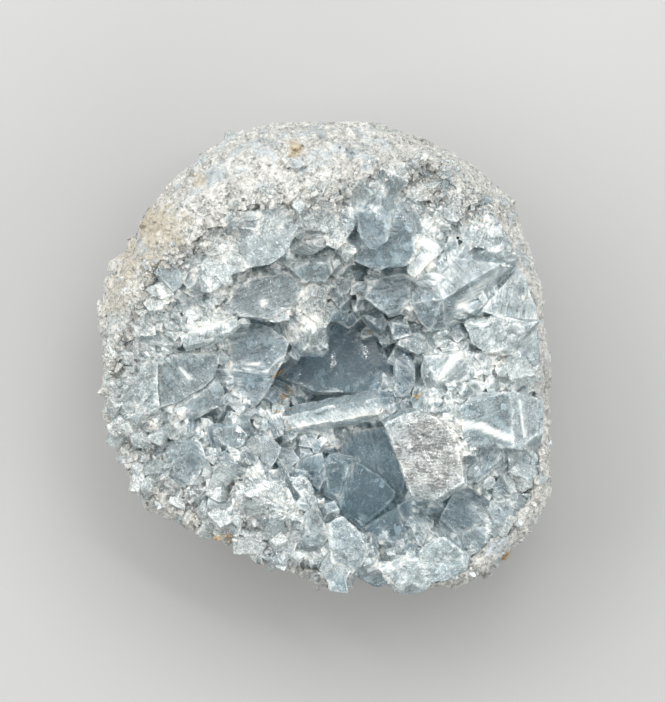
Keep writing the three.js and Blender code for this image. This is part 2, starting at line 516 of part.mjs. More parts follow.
const brokenPatches = () => [
  ...rubble([[-53, -9], [-40, -11], [-28, -15], [-23, -25], [-34, -38.5], [-44, -32.5], [-51, -21]],
    44.5, [0, -0.02], 7.4, 21),
  ...rubble([[-24, -24], [-9, -27], [-4, -38], [0, -46], [-4, -52], [-18, -47], [-31, -40]],
    46.5, [0.02, -0.02], 7.4, 22),
  ...rubble([[-26, -13], [-12, -13], [-7, -17], [-8, -27], [-22, -25]], 40.5, [-0.1, 0], 7, 23),
  ...rubble([[-44, 21], [-38, 23], [-28, 17], [-28, 12], [-43, 10]], 51, [0, 0.2], 6.4, 24),
  ...rubble([[-16, 21], [1, 24], [1, 14], [-9, 9], [-15, 11]], 51, [0, 0.25], 6, 25),
  ...rubble([[30, 44], [42, 38], [47, 29], [50, 22], [44, 25], [34, 34]], 52, [-0.15, 0.05], 6.4, 26),
  ...rubble([[49, -3], [53, -3], [53, -40], [46, -40]], 46.5, [-0.2, 0.02], 6.4, 27),
  ...rubble([[22, -51], [46, -47], [52, -36], [42, -38]], 42.5, [0, 0], 7, 28),
];

// Blocks along the rim, where the crust ends against the rind.
function rimBlocks() {
  const random = dice(9);
  return rimCurve.getPoints(RIM_BLOCKS).slice(0, RIM_BLOCKS).map((rim) => {
    const outward = new THREE.Vector2(rim.x, rim.y).normalize();
    const place = new THREE.Vector2(rim.x, rim.y).addScaledVector(outward, -2 - 2.5 * random());
    const tilt = [0.4 * outward.x + 0.3 * random() - 0.15, 0.4 * outward.y + 0.3 * random() - 0.15];
    return brokenBlock(place, rim.z + 0.4 - 2.2 * random(), tilt, 4 + 1.8 * random(), random);
  });
}

// ---------------------------------------------------------------- the geode
// The largest connected part of a solid, without pockets that are closed all round.
function onePiece(solid) {
  return solid.decompose().reduce((best, part) => (part.volume() > best.volume() ? part : best));
}

const rind = wasm.Manifold.union([nodule(), leftFace(), ...rindKnobs()])
  .intersect(solidFrom(new THREE.BoxGeometry(300, 300, 200).translate(0, 0, 100)))
  .subtract(hollow(0));

const crust = wasm.Manifold.union([
  lining(),
  ...deepCrystals(),
  ...leftCrystals(),
  ...upperCrystals(),
  ...rightCrystals(),
  ...lowerRightCrystals(),
  ...lowerLeftCrystals(),
  ...brokenPatches(),
  ...rimBlocks(),
]).intersect(hollow(GAP));

const geode = new THREE.Group();
geode.add(meshFrom(onePiece(rind), "rind",
  new THREE.MeshStandardMaterial({ color: RIND_COLOUR, roughness: 0.85, metalness: 0 })));
geode.add(meshFrom(onePiece(crust), "crystal_crust",
  new THREE.MeshStandardMaterial({ color: CRYSTAL_COLOUR, roughness: 0.15, metalness: 0 })));

export default geode;
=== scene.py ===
"""A celestite geode that lies on its back on a pale floor, seen from straight above.

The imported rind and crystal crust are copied, cut finer and given their relief: broken facets and chipped
edges on the crystals, folds and lumps on the rind. Small crystals and grains then grow on both.
Lengths are in metres; `mm` turns millimetres into metres.
"""
import functools
import itertools
import math

import bmesh
import bpy
import numpy as np
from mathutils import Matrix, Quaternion, Vector, kdtree
from mathutils.bvhtree import BVHTree


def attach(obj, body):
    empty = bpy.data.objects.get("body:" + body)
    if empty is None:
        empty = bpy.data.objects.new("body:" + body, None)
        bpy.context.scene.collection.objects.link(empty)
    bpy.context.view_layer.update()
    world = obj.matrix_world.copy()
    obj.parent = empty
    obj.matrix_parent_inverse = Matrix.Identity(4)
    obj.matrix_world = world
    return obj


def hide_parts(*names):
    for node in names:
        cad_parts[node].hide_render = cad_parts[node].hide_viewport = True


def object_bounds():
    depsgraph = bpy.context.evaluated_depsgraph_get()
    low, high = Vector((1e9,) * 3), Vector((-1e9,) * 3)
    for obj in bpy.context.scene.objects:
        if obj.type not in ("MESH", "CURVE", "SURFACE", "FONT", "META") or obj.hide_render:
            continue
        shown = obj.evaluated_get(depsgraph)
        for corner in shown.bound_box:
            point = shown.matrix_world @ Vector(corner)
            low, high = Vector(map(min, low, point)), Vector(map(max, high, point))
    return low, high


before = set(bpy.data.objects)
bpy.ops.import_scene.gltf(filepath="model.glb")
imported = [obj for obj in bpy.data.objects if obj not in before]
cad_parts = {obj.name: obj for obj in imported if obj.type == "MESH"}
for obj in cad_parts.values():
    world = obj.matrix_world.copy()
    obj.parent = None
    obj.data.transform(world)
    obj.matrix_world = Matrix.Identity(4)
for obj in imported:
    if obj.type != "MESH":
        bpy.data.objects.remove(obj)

CAD_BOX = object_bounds()
SEED = 7


def mm(length):
    return length / 1000


# -------- camera, floor and lights
PHOTO_CENTRE = Vector((mm(2.1), mm(2.3), 0))  # what the middle of the photograph looks at
PHOTO_HEIGHT = mm(175.5)  # how much of the stone's plane the photograph's height takes in
STONE_PLANE = mm(40)  # height of that plane, near the crystals' tips
CAMERA_DISTANCE = 2.4
SENSOR = 36
FLOOR_SIDE = 4
SKY_STRENGTH = 0.28

# The lights, which all face the middle of the opening: place and size in metres, and watts.
LIGHTS = {
    "far_softbox": ((-0.2, 0.8, 0.85), (1.3, 0.9), 13.6),
    "top_softbox": ((0.45, 0.5, 1.1), (0.7, 0.7), 4.4),
    "left_softbox": ((-0.8, 0.1, 0.65), (0.8, 1.0), 8.8),
    "right_softbox": ((0.8, -0.05, 0.55), (0.8, 1.0), 5.8),
    "near_softbox": ((0.25, -0.75, 0.75), (0.9, 0.4), 3),
    "strip_light": ((0.2, 0.3, 1.1), (0.5, 0.07), 1.6),
}


def new_object(name, data):
    thing = bpy.data.objects.new(name, data)
    bpy.context.collection.objects.link(thing)
    return thing


def add_camera():
    data = bpy.data.cameras.new("camera")
    data.sensor_width = SENSOR
    data.lens = SENSOR * CAMERA_DISTANCE / PHOTO_HEIGHT
    camera = new_object("camera", data)
    camera.location = PHOTO_CENTRE + Vector((0, 0, STONE_PLANE + CAMERA_DISTANCE))
    bpy.context.scene.camera = camera


def add_lights():
    for name, (place, size, watts) in LIGHTS.items():
        data = bpy.data.lights.new(name, "AREA")
        data.shape = "RECTANGLE"
        data.size, data.size_y = size
        data.energy = watts
        light = new_object(name, data)
        light.location = place
        aim = Vector((0, 0, STONE_PLANE)) - Vector(place)
        light.rotation_euler = aim.to_track_quat("-Z", "Y").to_euler()
    world = bpy.data.worlds.new("studio")
    world.use_nodes = True
    background = world.node_tree.nodes["Background"]
    background.inputs["Color"].default_value = (1, 1, 1, 1)
    background.inputs["Strength"].default_value = SKY_STRENGTH
    bpy.context.scene.world = world
    bpy.context.scene.view_settings.view_transform = "Standard"


def add_floor():
    bpy.ops.mesh.primitive_plane_add(size=FLOOR_SIDE)
    floor = bpy.context.object
    floor.name = "floor"
    floor.data.materials.append(floor_material())


# -------- materials
class Material:
    """A material's node tree, with short ways to add a node and to read an attribute."""

    def __init__(self, name):
        material = bpy.data.materials.new(name)
        material.use_nodes = True
        self.material = material
        self.nodes = material.node_tree.nodes
        self.links = material.node_tree.links
        self.shader = self.nodes["Principled BSDF"]
        self.output = self.nodes["Material Output"]

    def add(self, kind, inputs=None, **settings):
        node = self.nodes.new("ShaderNode" + kind)
        for key, value in settings.items():
            setattr(node, key, value)
        for key, value in (inputs or {}).items():
            self.put(node.inputs[key], value)
        return node

    def put(self, socket, value):
        if isinstance(value, bpy.types.NodeSocket):
            self.links.new(value, socket)
        else:
            socket.default_value = value

    def set(self, **values):
        """Sets the shader's own sockets, with _ for the spaces in their names."""
        for key, value in values.items():
            self.put(self.shader.inputs[key.replace("_", " ")], value)

    def attribute(self, name, output="Fac"):
        return self.add("Attribute", attribute_name=name).outputs[output]

    def place(self):
        return self.add("TexCoord").outputs["Object"]

    def noise(self, where, size, detail=4, roughness=0.6, distortion=0.0):
        """Noise from 0 to 1 with lumps of about this size."""
        return self.add("TexNoise", {
            "Vector": where, "Scale": 1 / size, "Detail": detail, "Roughness": roughness,
            "Distortion": distortion,
        }).outputs["Fac"]

    def grains(self, where, size):
        """One random colour for each grain of about this size."""
        return self.add("TexVoronoi", {"Vector": where, "Scale": 1 / size}).outputs["Color"]

    def seams(self, where, size, width):
        """1 on the walls between grains of about this size, fading to 0 at this width."""
        node = self.add("TexVoronoi", {"Vector": where, "Scale": 1 / size},
                        feature="DISTANCE_TO_EDGE")
        return self.range(node.outputs["Distance"], 0, width / size, 1, 0)

    def part(self, colour, channel):
        return self.add("SeparateColor", {0: colour}).outputs[channel]

    def blend(self, *terms):
        """Adds up terms: each a value from 0 to 1, what 0 becomes and what 1 becomes."""
        return self.total(*(self.range(value, 0, 1, low, high) for value, low, high in terms))

    def math(self, operation, a, b=0.0):
        return self.add("Math", {0: a, 1: b}, operation=operation).outputs[0]

    def times(self, a, b):
        return self.math("MULTIPLY", a, b)

    def total(self, *values):
        """All the values added up."""
        return functools.reduce(lambda a, b: self.math("ADD", a, b), values)

    def vector(self, operation, a, b=(0, 0, 0)):
        return self.add("VectorMath", {0: a, 1: b}, operation=operation).outputs[0]

    def range(self, value, low, high, to_low=0.0, to_high=1.0):
        """The value's stretch from low to high, mapped onto another and held within it."""
        return self.add("MapRange", {
            "Value": value, "From Min": low, "From Max": high, "To Min": to_low, "To Max": to_high,
        }).outputs["Result"]

    def mix(self, factor, a, b):
        node = self.add("Mix", data_type="RGBA")
        self.put(node.inputs[0], factor)
        self.put(node.inputs[6], a)
        self.put(node.inputs[7], b)
        return node.outputs[2]

    def bump(self, height, distance, strength=1.0):
        inputs = {"Height": height, "Distance": distance, "Strength": strength}
        return self.add("Bump", inputs).outputs["Normal"]

    def push(self, colour, scale):
        """A random colour as a vector in any direction."""
        centred = self.vector("SUBTRACT", colour, (0.5, 0.5, 0.5))
        return self.add("VectorMath", {0: centred, "Scale": scale},
                        operation="SCALE").outputs[0]

    def bent(self, where, size, far):
        """Coordinates that are pushed about by noise, so that grains get uneven outlines."""
        noise = self.add("TexNoise", {"Vector": where, "Scale": 1 / size, "Detail": 2.0})
        return self.vector("ADD", where, self.push(noise.outputs["Color"], far))

    def tilt(self, colour, strength, normal):
        """Leans the normal by a random colour, so that each grain catches the light its own way."""
        return self.vector("NORMALIZE", self.vector("ADD", normal, self.push(colour, strength)))

    def line(self, value, width):
        """1 where a noise value crosses its middle, fading to 0 at this width: thin wandering lines."""
        off = self.math("ABSOLUTE", self.math("SUBTRACT", value, 0.5))
        return self.range(off, 0, width, 1, 0)


def floor_material():
    m = Material("pale_paper")
    m.set(Base_Color=(0.36, 0.36, 0.355, 1), Roughness=0.9)
    return m.material


# Sizes of the facets in the materials
CRYSTAL_FACETS = (mm(3.2), mm(1.2), mm(0.5))
RIND_FACETS = (mm(3.4), mm(1.6), mm(0.6))

CLEAR_TINT = (0.67, 0.765, 0.775, 1)
BLUE_TINT = (0.45, 0.63, 0.73, 1)
FROST_WHITE = (0.8, 0.8, 0.755, 1)
PLATE_GREY = (0.66, 0.66, 0.64, 1)
RIND_GREY = (0.2, 0.21, 0.2, 1)
RIND_WHITE = (0.625, 0.62, 0.58, 1)
RIND_BLUE = (0.33, 0.39, 0.42, 1)
RIND_TAN = (0.4, 0.34, 0.23, 1)


def celestite_material():
    m = Material("celestite_crystal")
    here = m.place()
    frost, blue, stripes = (m.attribute(name) for name in ("frost", "blue", "stripes"))

    # growth lines run along each face in the direction of its grain
    lines = m.vector("MULTIPLY", m.attribute("grain", "Vector"), (1, 0.1, 1))
    growth = m.noise(lines, mm(0.6), roughness=0.7)

    # broken faces are made of facets of three sizes, with bright walls between them: painted highlights
    # along the facet edges, partly white cracks
    bent = m.bent(here, mm(3), mm(1.8))
    coarse, middle, fine = (m.grains(bent, size) for size in CRYSTAL_FACETS)
    cloud = m.noise(here, mm(4), detail=6, roughness=0.65)
    walls = m.times(m.seams(bent, CRYSTAL_FACETS[0], mm(0.25)), m.range(cloud, 0.4, 0.6))
    small_walls = m.times(m.seams(bent, CRYSTAL_FACETS[1], mm(0.2)), m.range(growth, 0.35, 0.55))
    tiny_walls = m.times(m.seams(bent, mm(0.7), mm(0.14)), m.range(cloud, 0.5, 0.6))

    # how much white scatter there is: over whole faces, in single facets and in specks
    tone_and_glint_specks = m.noise(here, mm(0.35), detail=1)
    loose = m.blend((m.range(cloud, 0.3, 0.7), -0.14, 0.14), (m.part(coarse, "Red"), -0.06, 0.06),
                    (m.part(middle, "Green"), -0.08, 0.08), (m.part(fine, "Blue"), -0.11, 0.11),
                    (m.range(tone_and_glint_specks, 0.35, 0.65), -0.12, 0.12))

    # veils, which are white cracks, and the walls between facets, which are painted highlights and partly
    # white cracks, are brightest on frosted faces
    veils = m.line(m.noise(here, mm(4.5), distortion=1.5), 0.02)
    bright = m.blend((veils, 0, 0.42), (walls, 0, 0.2), (small_walls, 0, 0.22), (tiny_walls, 0, 0.28))
    on_frost = m.range(frost, 0, 0.7, 0.2, 1)

    # the plate's ripples, growth lines, and painted light: painted highlights on the ridges, partly the
    # white of chipped edges, painted light in the crevices, partly white debris, and the painted highlight
    # bands
    ripple = m.add("TexWave", {
        "Vector": m.bent(here, mm(5), mm(3)), "Scale": 1 / mm(2.6), "Distortion": 5.0, "Detail": 2.0,
        "Detail Scale": 2.0,
    }, bands_direction="Y").outputs["Fac"]
    rippled = m.attribute("rippled")
    white = m.range(m.total(
        m.times(loose, on_frost),
        m.times(bright, on_frost),
        m.range(frost, 0, 1, -0.03, 0.42),
        # painted glints: sparse white specks
        m.range(tone_and_glint_specks, 0.67, 0.75, 0, 0.7),
        m.times(stripes, m.range(growth, 0.4, 0.6, -0.1, 0.15)),
        m.times(rippled, m.range(ripple, 0.1, 0.7, -0.16, 0.06)),
        # painted highlight along the ridges, partly the white of chipped edges
        m.times(m.math("POWER", m.attribute("ridge"), 3), m.range(cloud, 0.42, 0.58, 0.1, 0.7)),
        # painted light in the crevices, lifting their shade, partly white debris
        m.times(m.attribute("crevice"), m.range(growth, 0.4, 0.6, 0.05, 0.45)),
        # painted highlights: the bright bands, painted white where the facets mirror the lights
        m.times(m.attribute("shine"), m.range(growth, 0.35, 0.6, 0.5, 1)),
    ), 0, 1)

    deep = m.range(m.total(blue, m.range(cloud, 0.3, 0.7, -0.2, 0.2)), 0, 1)
    clear = m.mix(m.times(rippled, 0.8), m.mix(deep, CLEAR_TINT, BLUE_TINT), PLATE_GREY)
    m.set(
        Base_Color=m.mix(white, clear, FROST_WHITE),
        Roughness=m.range(white, 0, 1, 0.02, 0.14),
        IOR=1.62,
        Transmission_Weight=m.range(white, 0, 1, 0.85, 0.15),
        Subsurface_Weight=0.4,
        Subsurface_Radius=(0.8, 1.0, 1.1),
        Subsurface_Scale=mm(1.0),
    )
    broken = m.range(m.total(frost, m.range(cloud, 0.35, 0.65, -0.25, 0.15)), 0.1, 0.7)
    normal = m.bump(growth, mm(0.2), m.range(stripes, 0, 1, 0.05, 0.9))
    for facets, least, most in ((coarse, 0.02, 0.3), (middle, 0.02, 0.35), (fine, 0, 0.3)):
        normal = m.tilt(facets, m.range(broken, 0, 1, least, most), normal)
    m.set(Normal=normal)

    absorption = m.add("VolumeAbsorption", {"Color": (0.5, 0.72, 0.82, 1), "Density": 6.0})
    m.links.new(absorption.outputs["Volume"], m.output.inputs["Volume"])
    return m.material


def rind_material():
    m = Material("rind_crystals")
    here = m.place()
    bent = m.bent(here, mm(2), mm(1.2))
    coarse, middle, fine = (m.grains(bent, size) for size in RIND_FACETS)
    rough = m.noise(here, mm(0.7), detail=5, roughness=0.75)
    blotch = m.noise(here, mm(7), detail=5)
    # painted light in the rind's colour: the folds and pits are painted shade lines and spots, the creases
    # and glints painted highlight lines
    folds = m.line(m.noise(here, mm(3), detail=5, roughness=0.65, distortion=1.5), 0.025)
    painted_highlight_lines = m.line(m.noise(here, mm(2), roughness=0.65, distortion=2.0), 0.035)
    painted_pit_shade = m.range(m.noise(here, mm(1.3), detail=3), 0.62, 0.68)
    glints = m.seams(bent, mm(0.9), mm(0.12))

    speckled = m.blend((m.part(coarse, "Green"), -0.14, 0.14), (m.part(middle, "Red"), -0.18, 0.18),
                       (m.part(fine, "Green"), -0.12, 0.12), (m.range(rough, 0.3, 0.7), 0.2, 1.0),
                       (folds, 0, -0.6), (painted_highlight_lines, 0, 0.6), (painted_pit_shade, 0, -0.6), (glints, 0, 0.2))
    pale = m.mix(m.range(speckled, 0, 1), RIND_GREY, RIND_WHITE)
    icy = m.mix(m.range(blotch, 0.54, 0.62, 0, 0.6), pale, RIND_BLUE)
    dirt = m.total(m.attribute("stain"), m.range(rough, 0.3, 0.7, -0.35, 0.35))
    m.set(
        Base_Color=m.mix(m.range(dirt, 0.25, 1.1, 0, 0.85), icy, RIND_TAN),
        Roughness=m.range(m.part(middle, "Red"), 0, 1, 0.15, 0.5),
        IOR=1.6,
        Subsurface_Weight=0.2,
        Subsurface_Radius=(1, 1, 1),
        Subsurface_Scale=mm(0.5),
    )
    normal = m.bump(rough, mm(0.4))
    for facets, lean in ((coarse, 0.3), (middle, 0.5), (fine, 0.7)):
        normal = m.tilt(facets, lean, normal)
    m.set(Normal=normal)
    return m.material


def flaw_material():
    m = Material("crack")
    m.set(Base_Color=(0.85, 0.89, 0.91, 1), Roughness=0.4)
    return m.material


def matrix_material():
    m = Material("matrix_grains")
    here = m.place()
    tone = m.noise(here, mm(1.5), detail=3)
    m.set(
        Base_Color=m.mix(m.range(tone, 0.35, 0.65), (0.22, 0.13, 0.05, 1), (0.5, 0.38, 0.2, 1)),
        Roughness=0.55,
        Normal=m.bump(m.noise(here, mm(0.4)), mm(0.15), 0.6),
    )
    return m.material


# -------- random numbers and relief
# Uneven numbers that make the sines in random_at look random. Others would do as well.
CELL_TURNS = np.array([127.1, 311.7, 74.7])
SEED_TURN = 17.3
STEP_TURN = 53.97
SINE_SCALE = 43758.5453


def random_at(cells, seed, count):
    """The same numbers from 0 to 1 each time for each whole-numbered cell: count of them."""
    turns = cells @ CELL_TURNS + SEED_TURN * seed
    steps = np.arange(1, count + 1) * STEP_TURN
    return np.modf(np.abs(np.sin(turns[:, None] + steps) * SINE_SCALE))[0]


def dots(a, b):
    return np.einsum("ij,ij->i", a, b)


def away_from(points, x, y, reach):
    """How far each point is from a place, seen from above, in reaches. x, y and reach are in mm."""
    return np.hypot(points[:, 0] - mm(x), points[:, 1] - mm(y)) / mm(reach)


def smooth_noise(points, size, seed=0):
    """Noise from -1 to 1 with soft lumps of about this size."""
    cell = np.floor(points / size)
    part = points / size - cell
    part = part * part * (3 - 2 * part)
    total = np.zeros(len(points))
    for step in itertools.product((0, 1), repeat=3):
        weight = np.prod(np.where(step, part, 1 - part), axis=1)
        total += weight * random_at(cell + step, seed, 1)[:, 0]
    return 2 * total - 1


def noise_vectors(points, size, seeds):
    """Smooth noise in each of the three directions."""
    return np.stack([smooth_noise(points, size, seed) for seed in seeds], axis=1)


def facet_relief(points, size, height, tilt, seed=0):
    """How far each point moves out so that the surface breaks into flat facets of about this size."""
    cell = np.floor(points / size)
    nearest = np.full(len(points), np.inf)
    move = np.zeros(len(points))
    for step in itertools.product((-1, 0, 1), repeat=3):
        dice = random_at(cell + step, seed, 7)
        reach = points - (cell + step + dice[:, :3]) * size
        distance = dots(reach, reach)
        lean = (dice[:, 3:6] - 0.5) * 2 * tilt
        offset = (dice[:, 6] - 0.5) * 2 * height + dots(reach, lean)
        closer = distance < nearest
        nearest[closer] = distance[closer]
        move[closer] = offset[closer]
    return move


# -------- meshes
MERGE = mm(0.0001)
SAME_PLANE = math.radians(7)  # faces closer in direction than this count as one crystal face
SHARP = math.radians(18)  # edges sharper than this show as edges
BACK_GAP = mm(0.6)  # crystal and rind closer to each other than this are hidden
REMESH_DEPTH = 8
HIDDEN_CUT = 0.9  # how much of a piece's hidden mesh is dropped
TEXTURE_STEP = 0.01  # how far apart the growth lines of two faces start


def packed_copy(node, name):
    """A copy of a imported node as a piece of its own, with its corners merged."""
    piece = new_object(name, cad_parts[node].data.copy())
    bm = bmesh.new()
    bm.from_mesh(piece.data)
    bmesh.ops.remove_doubles(bm, verts=bm.verts, dist=MERGE)
    bm.to_mesh(piece.data)
    bm.free()
    return piece


def apply_modifiers(piece):
    graph = bpy.context.evaluated_depsgraph_get()
    piece.data = bpy.data.meshes.new_from_object(piece.evaluated_get(graph))
    piece.modifiers.clear()


def lies_against(tree, points):
    """Whether each point lies so close to the other solid that nobody sees it."""
    return np.array([tree.find_nearest(point, BACK_GAP)[0] is not None for point in points])


def remesh(piece, cell, other):
    """Makes the piece an even mesh that keeps its edges, coarse where it lies against the other."""
    cut = piece.modifiers.new("cut", "REMESH")
    cut.mode = "SHARP"
    cut.octree_depth = REMESH_DEPTH
    cut.scale = max(piece.dimensions) / (cell * 2 ** REMESH_DEPTH)
    cut.use_remove_disconnected = False
    piece.modifiers.new("triangles", "TRIANGULATE")
    apply_modifiers(piece)
    piece.data.materials.clear()

    hidden = lies_against(other, rows(piece.data.vertices, "co"))
    group = piece.vertex_groups.new(name="hidden")
    group.add(np.flatnonzero(hidden).tolist(), 1, "REPLACE")
    thin = piece.modifiers.new("thin", "DECIMATE")
    thin.vertex_group = "hidden"
    thin.ratio = 1 - HIDDEN_CUT * hidden.mean()
    thin.use_collapse_triangulate = True
    apply_modifiers(piece)
    piece.vertex_groups.clear()


def number_planes(bm):
    """Which flat stretch each face belongs to, and each stretch's centre and direction."""
    plane = np.full(len(bm.faces), -1)
    centres, normals = [], []
    for start in bm.faces:
        if plane[start.index] >= 0:
            continue
        plane[start.index] = len(centres)
        members = [start]
        for face in members:
            for other in (other for edge in face.edges for other in edge.link_faces):
                if plane[other.index] < 0 and start.normal.angle(other.normal, 0) < SAME_PLANE:
                    plane[other.index] = len(centres)
                    members.append(other)
        areas = np.array([face.calc_area() + 1e-12 for face in members])
        middles = np.array([face.calc_center_median() for face in members])
        centres.append(areas @ middles / areas.sum())
        normals.append(start.normal[:])
    return plane, np.array(centres), np.array(normals)


def tree_of(points):
    tree = kdtree.KDTree(len(points))
    for i, point in enumerate(points):
        tree.insert(point, i)
    tree.balance()
    return tree


def closeness(points, tree, reach):
    """From 1 at the tree's points to 0 at this distance from them."""
    return np.array([max(0.0, 1 - tree.find(point)[2] / reach) for point in points])


def points_along(edges, step):
    points = []
    for edge in edges:
        a, b = (vert.co for vert in edge.verts)
        count = max(1, int((b - a).length / step))
        points += [a.lerp(b, (i + 0.5) / count) for i in range(count)]
    return points


def rows(items, key):
    """Three numbers for each item, such as where a mesh's vertices are."""
    values = np.empty(len(items) * 3, dtype=np.float32)
    items.foreach_get(key, values)
    return values.reshape(-1, 3).astype(float)


def arrays_of(mesh):
    """The mesh's points, normals and triangles."""
    corners = np.empty(len(mesh.loops), dtype=np.int32)
    mesh.loops.foreach_get("vertex_index", corners)
    return rows(mesh.vertices, "co"), rows(mesh.vertex_normals, "vector"), corners.reshape(-1, 3)


def set_attribute(mesh, name, values, domain="POINT"):
    """One number or vector for each vertex, corner or face."""
    kind, key = ("FLOAT", "value") if values.ndim == 1 else ("FLOAT_VECTOR", "vector")
    mesh.attributes.new(name, kind, domain).data.foreach_set(key, values.astype(np.float32).ravel())


def set_looks(mesh, looks, owner):
    """Each face's frost, blue and stripes, from what it belongs to."""
    for name, values in zip(("frost", "blue", "stripes"), looks):
        set_attribute(mesh, name, values[owner], "FACE")


def within_cad_box(points):
    """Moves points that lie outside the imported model's box onto its sides."""
    low, high = (np.array(corner) for corner in CAD_BOX)
    return np.clip(points, low, high)


def reshape(mesh, points):
    """Gives the mesh these points, and smooth shading with sharp edges."""
    mesh.vertices.foreach_set("co", within_cad_box(points).ravel())
    mesh.update()
    mesh.shade_smooth()
    mesh.set_sharp_from_angle(angle=SHARP)


def finish_piece(piece, material, node=None):
    piece.data.materials.append(material)
    if node:
        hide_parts(node)
    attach(piece, "root")


# Where the surface is pressed in: centre from above, reach and how far it moves in x and y, in mm.
PRESSED = [(-52.75, 31, 8, 2.4, -2.2), (9.5, -55, 5, -2.6, 0)]


def pressed_in(points):
    points = points.copy()
    for x, y, reach, move_x, move_y in PRESSED:
        share = np.clip(1 - away_from(points, x, y, reach) ** 2, 0, 1) ** 2
        points[:, :2] += share[:, None] * (mm(move_x), mm(move_y))
    return points


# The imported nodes' surfaces, for distances between them.
PACKED = {name: BVHTree.FromObject(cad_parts[name], bpy.context.evaluated_depsgraph_get())
          for name in ("rind", "crystal_crust")}


# -------- crystals between the large ones
MAP_STEP = mm(0.5)
MAP_EDGE = mm(60)
MAP_TOP = mm(90)  # a height above the whole stone
MAP_TICKS = np.arange(-MAP_EDGE, MAP_EDGE, MAP_STEP)
GAP_REACH = mm(5)  # gaps up to twice as wide as this get filled
GAP_SIZES = (mm(4.5), mm(3.4), mm(2.5), mm(1.8), mm(2.4), mm(1.3))  # half widths of the crystals

# Deep faces that stay free: centre from above in mm, and reach.
OPEN_PLACES = [(2.7, -1, 11), (11, -31, 13), (18, -22, 8), (36, -42, 9)]

# Crystals that stand in the wide gap over the dark block: x, y, height of the tip and half width, in mm.
SET_CRYSTALS = [(9, 12, 40, 3.2), (13.5, 10.5, 41, 3.4), (18, 9.5, 42.5, 3), (21.5, 11.5, 44, 2.4),
                (16, 5.5, 37, 2.4), (5, 12.5, 38.5, 2.6), (9, 17, 45, 2), (12.5, 7, 34, 2.2)]

# The notch in the lower edge, which stays empty: centre from above in mm, and reach.
NOTCH = (9.7, -55.5, 2.5)


def height_map(tree):
    """How high the surface lies at each place of a square grid, seen from above."""
    height = np.zeros((len(MAP_TICKS), len(MAP_TICKS)))
    for i, j in np.ndindex(height.shape):
        hit = tree.ray_cast((MAP_TICKS[i], MAP_TICKS[j], MAP_TOP), (0, 0, -1))[0]
        height[i, j] = hit.z if hit else 0
    return height


def over_disc(grid, radius, choose):
    """The highest or lowest value within this radius of each place."""
    reach = int(radius / MAP_STEP)
    best = grid
    for i, j in itertools.product(range(-reach, reach + 1), repeat=2):
        if i * i + j * j <= reach * reach:
            best = choose(best, np.roll(grid, (i, j), (0, 1)))
    return best


def cut_box(sides, cuts):
    """The points and triangles of a box round the origin, cut by planes: direction and distance."""
    bm = bmesh.new()
    bmesh.ops.create_cube(bm, size=1)
    for vert in bm.verts:
        vert.co *= Vector(sides)
    for direction, distance in cuts:
        cut = bmesh.ops.bisect_plane(bm, geom=bm.verts[:] + bm.edges[:] + bm.faces[:],
                                     plane_co=direction * distance, plane_no=direction, clear_outer=True)
        rim = [item for item in cut["geom_cut"] if isinstance(item, bmesh.types.BMEdge)]
        bmesh.ops.holes_fill(bm, edges=rim)
    bmesh.ops.triangulate(bm, faces=bm.faces[:])
    bmesh.ops.recalc_face_normals(bm, faces=bm.faces[:])
    bm.verts.index_update()
    points = np.array([vert.co[:] for vert in bm.verts])
    triangles = np.array([[vert.index for vert in face.verts] for face in bm.faces])
    bm.free()
    return points, triangles


def standing_crystal(place, foot, half_width, random):
    """A prism with a cut tip at this place. It leans to the hollow's middle and stands on its foot."""
    length = max(1.6 * half_width, place[2] - foot + mm(1))
    axis = Vector((-6 * place[0], -6 * place[1], 1)) + Vector(random.normal(0, 0.3, 3))
    turn = axis.to_track_quat("Z", "Y") @ Quaternion((0, 0, 1), random.uniform(0, math.tau))
    cuts = []
    for _ in range(3):
        around, lean = random.uniform(0, math.tau), random.uniform(0.5, 1.1)
        direction = Vector((math.sin(lean) * math.cos(around), math.sin(lean) * math.sin(around),
                            math.cos(lean)))
        cuts.append((direction, length / 2 * math.cos(lean) + half_width * random.uniform(0.1, 0.6)))
    for _ in range(2):
        around = random.uniform(0, math.tau)
        direction = Vector((math.cos(around), math.sin(around), 0))
        cuts.append((direction, half_width * random.uniform(0.7, 1)))
    points, triangles = cut_box((2 * half_width, 1.6 * half_width, length), cuts)
    points = points @ np.array(turn.to_matrix()).T
    points += np.array(place) - (0, 0, points[:, 2].max())
    return points, triangles


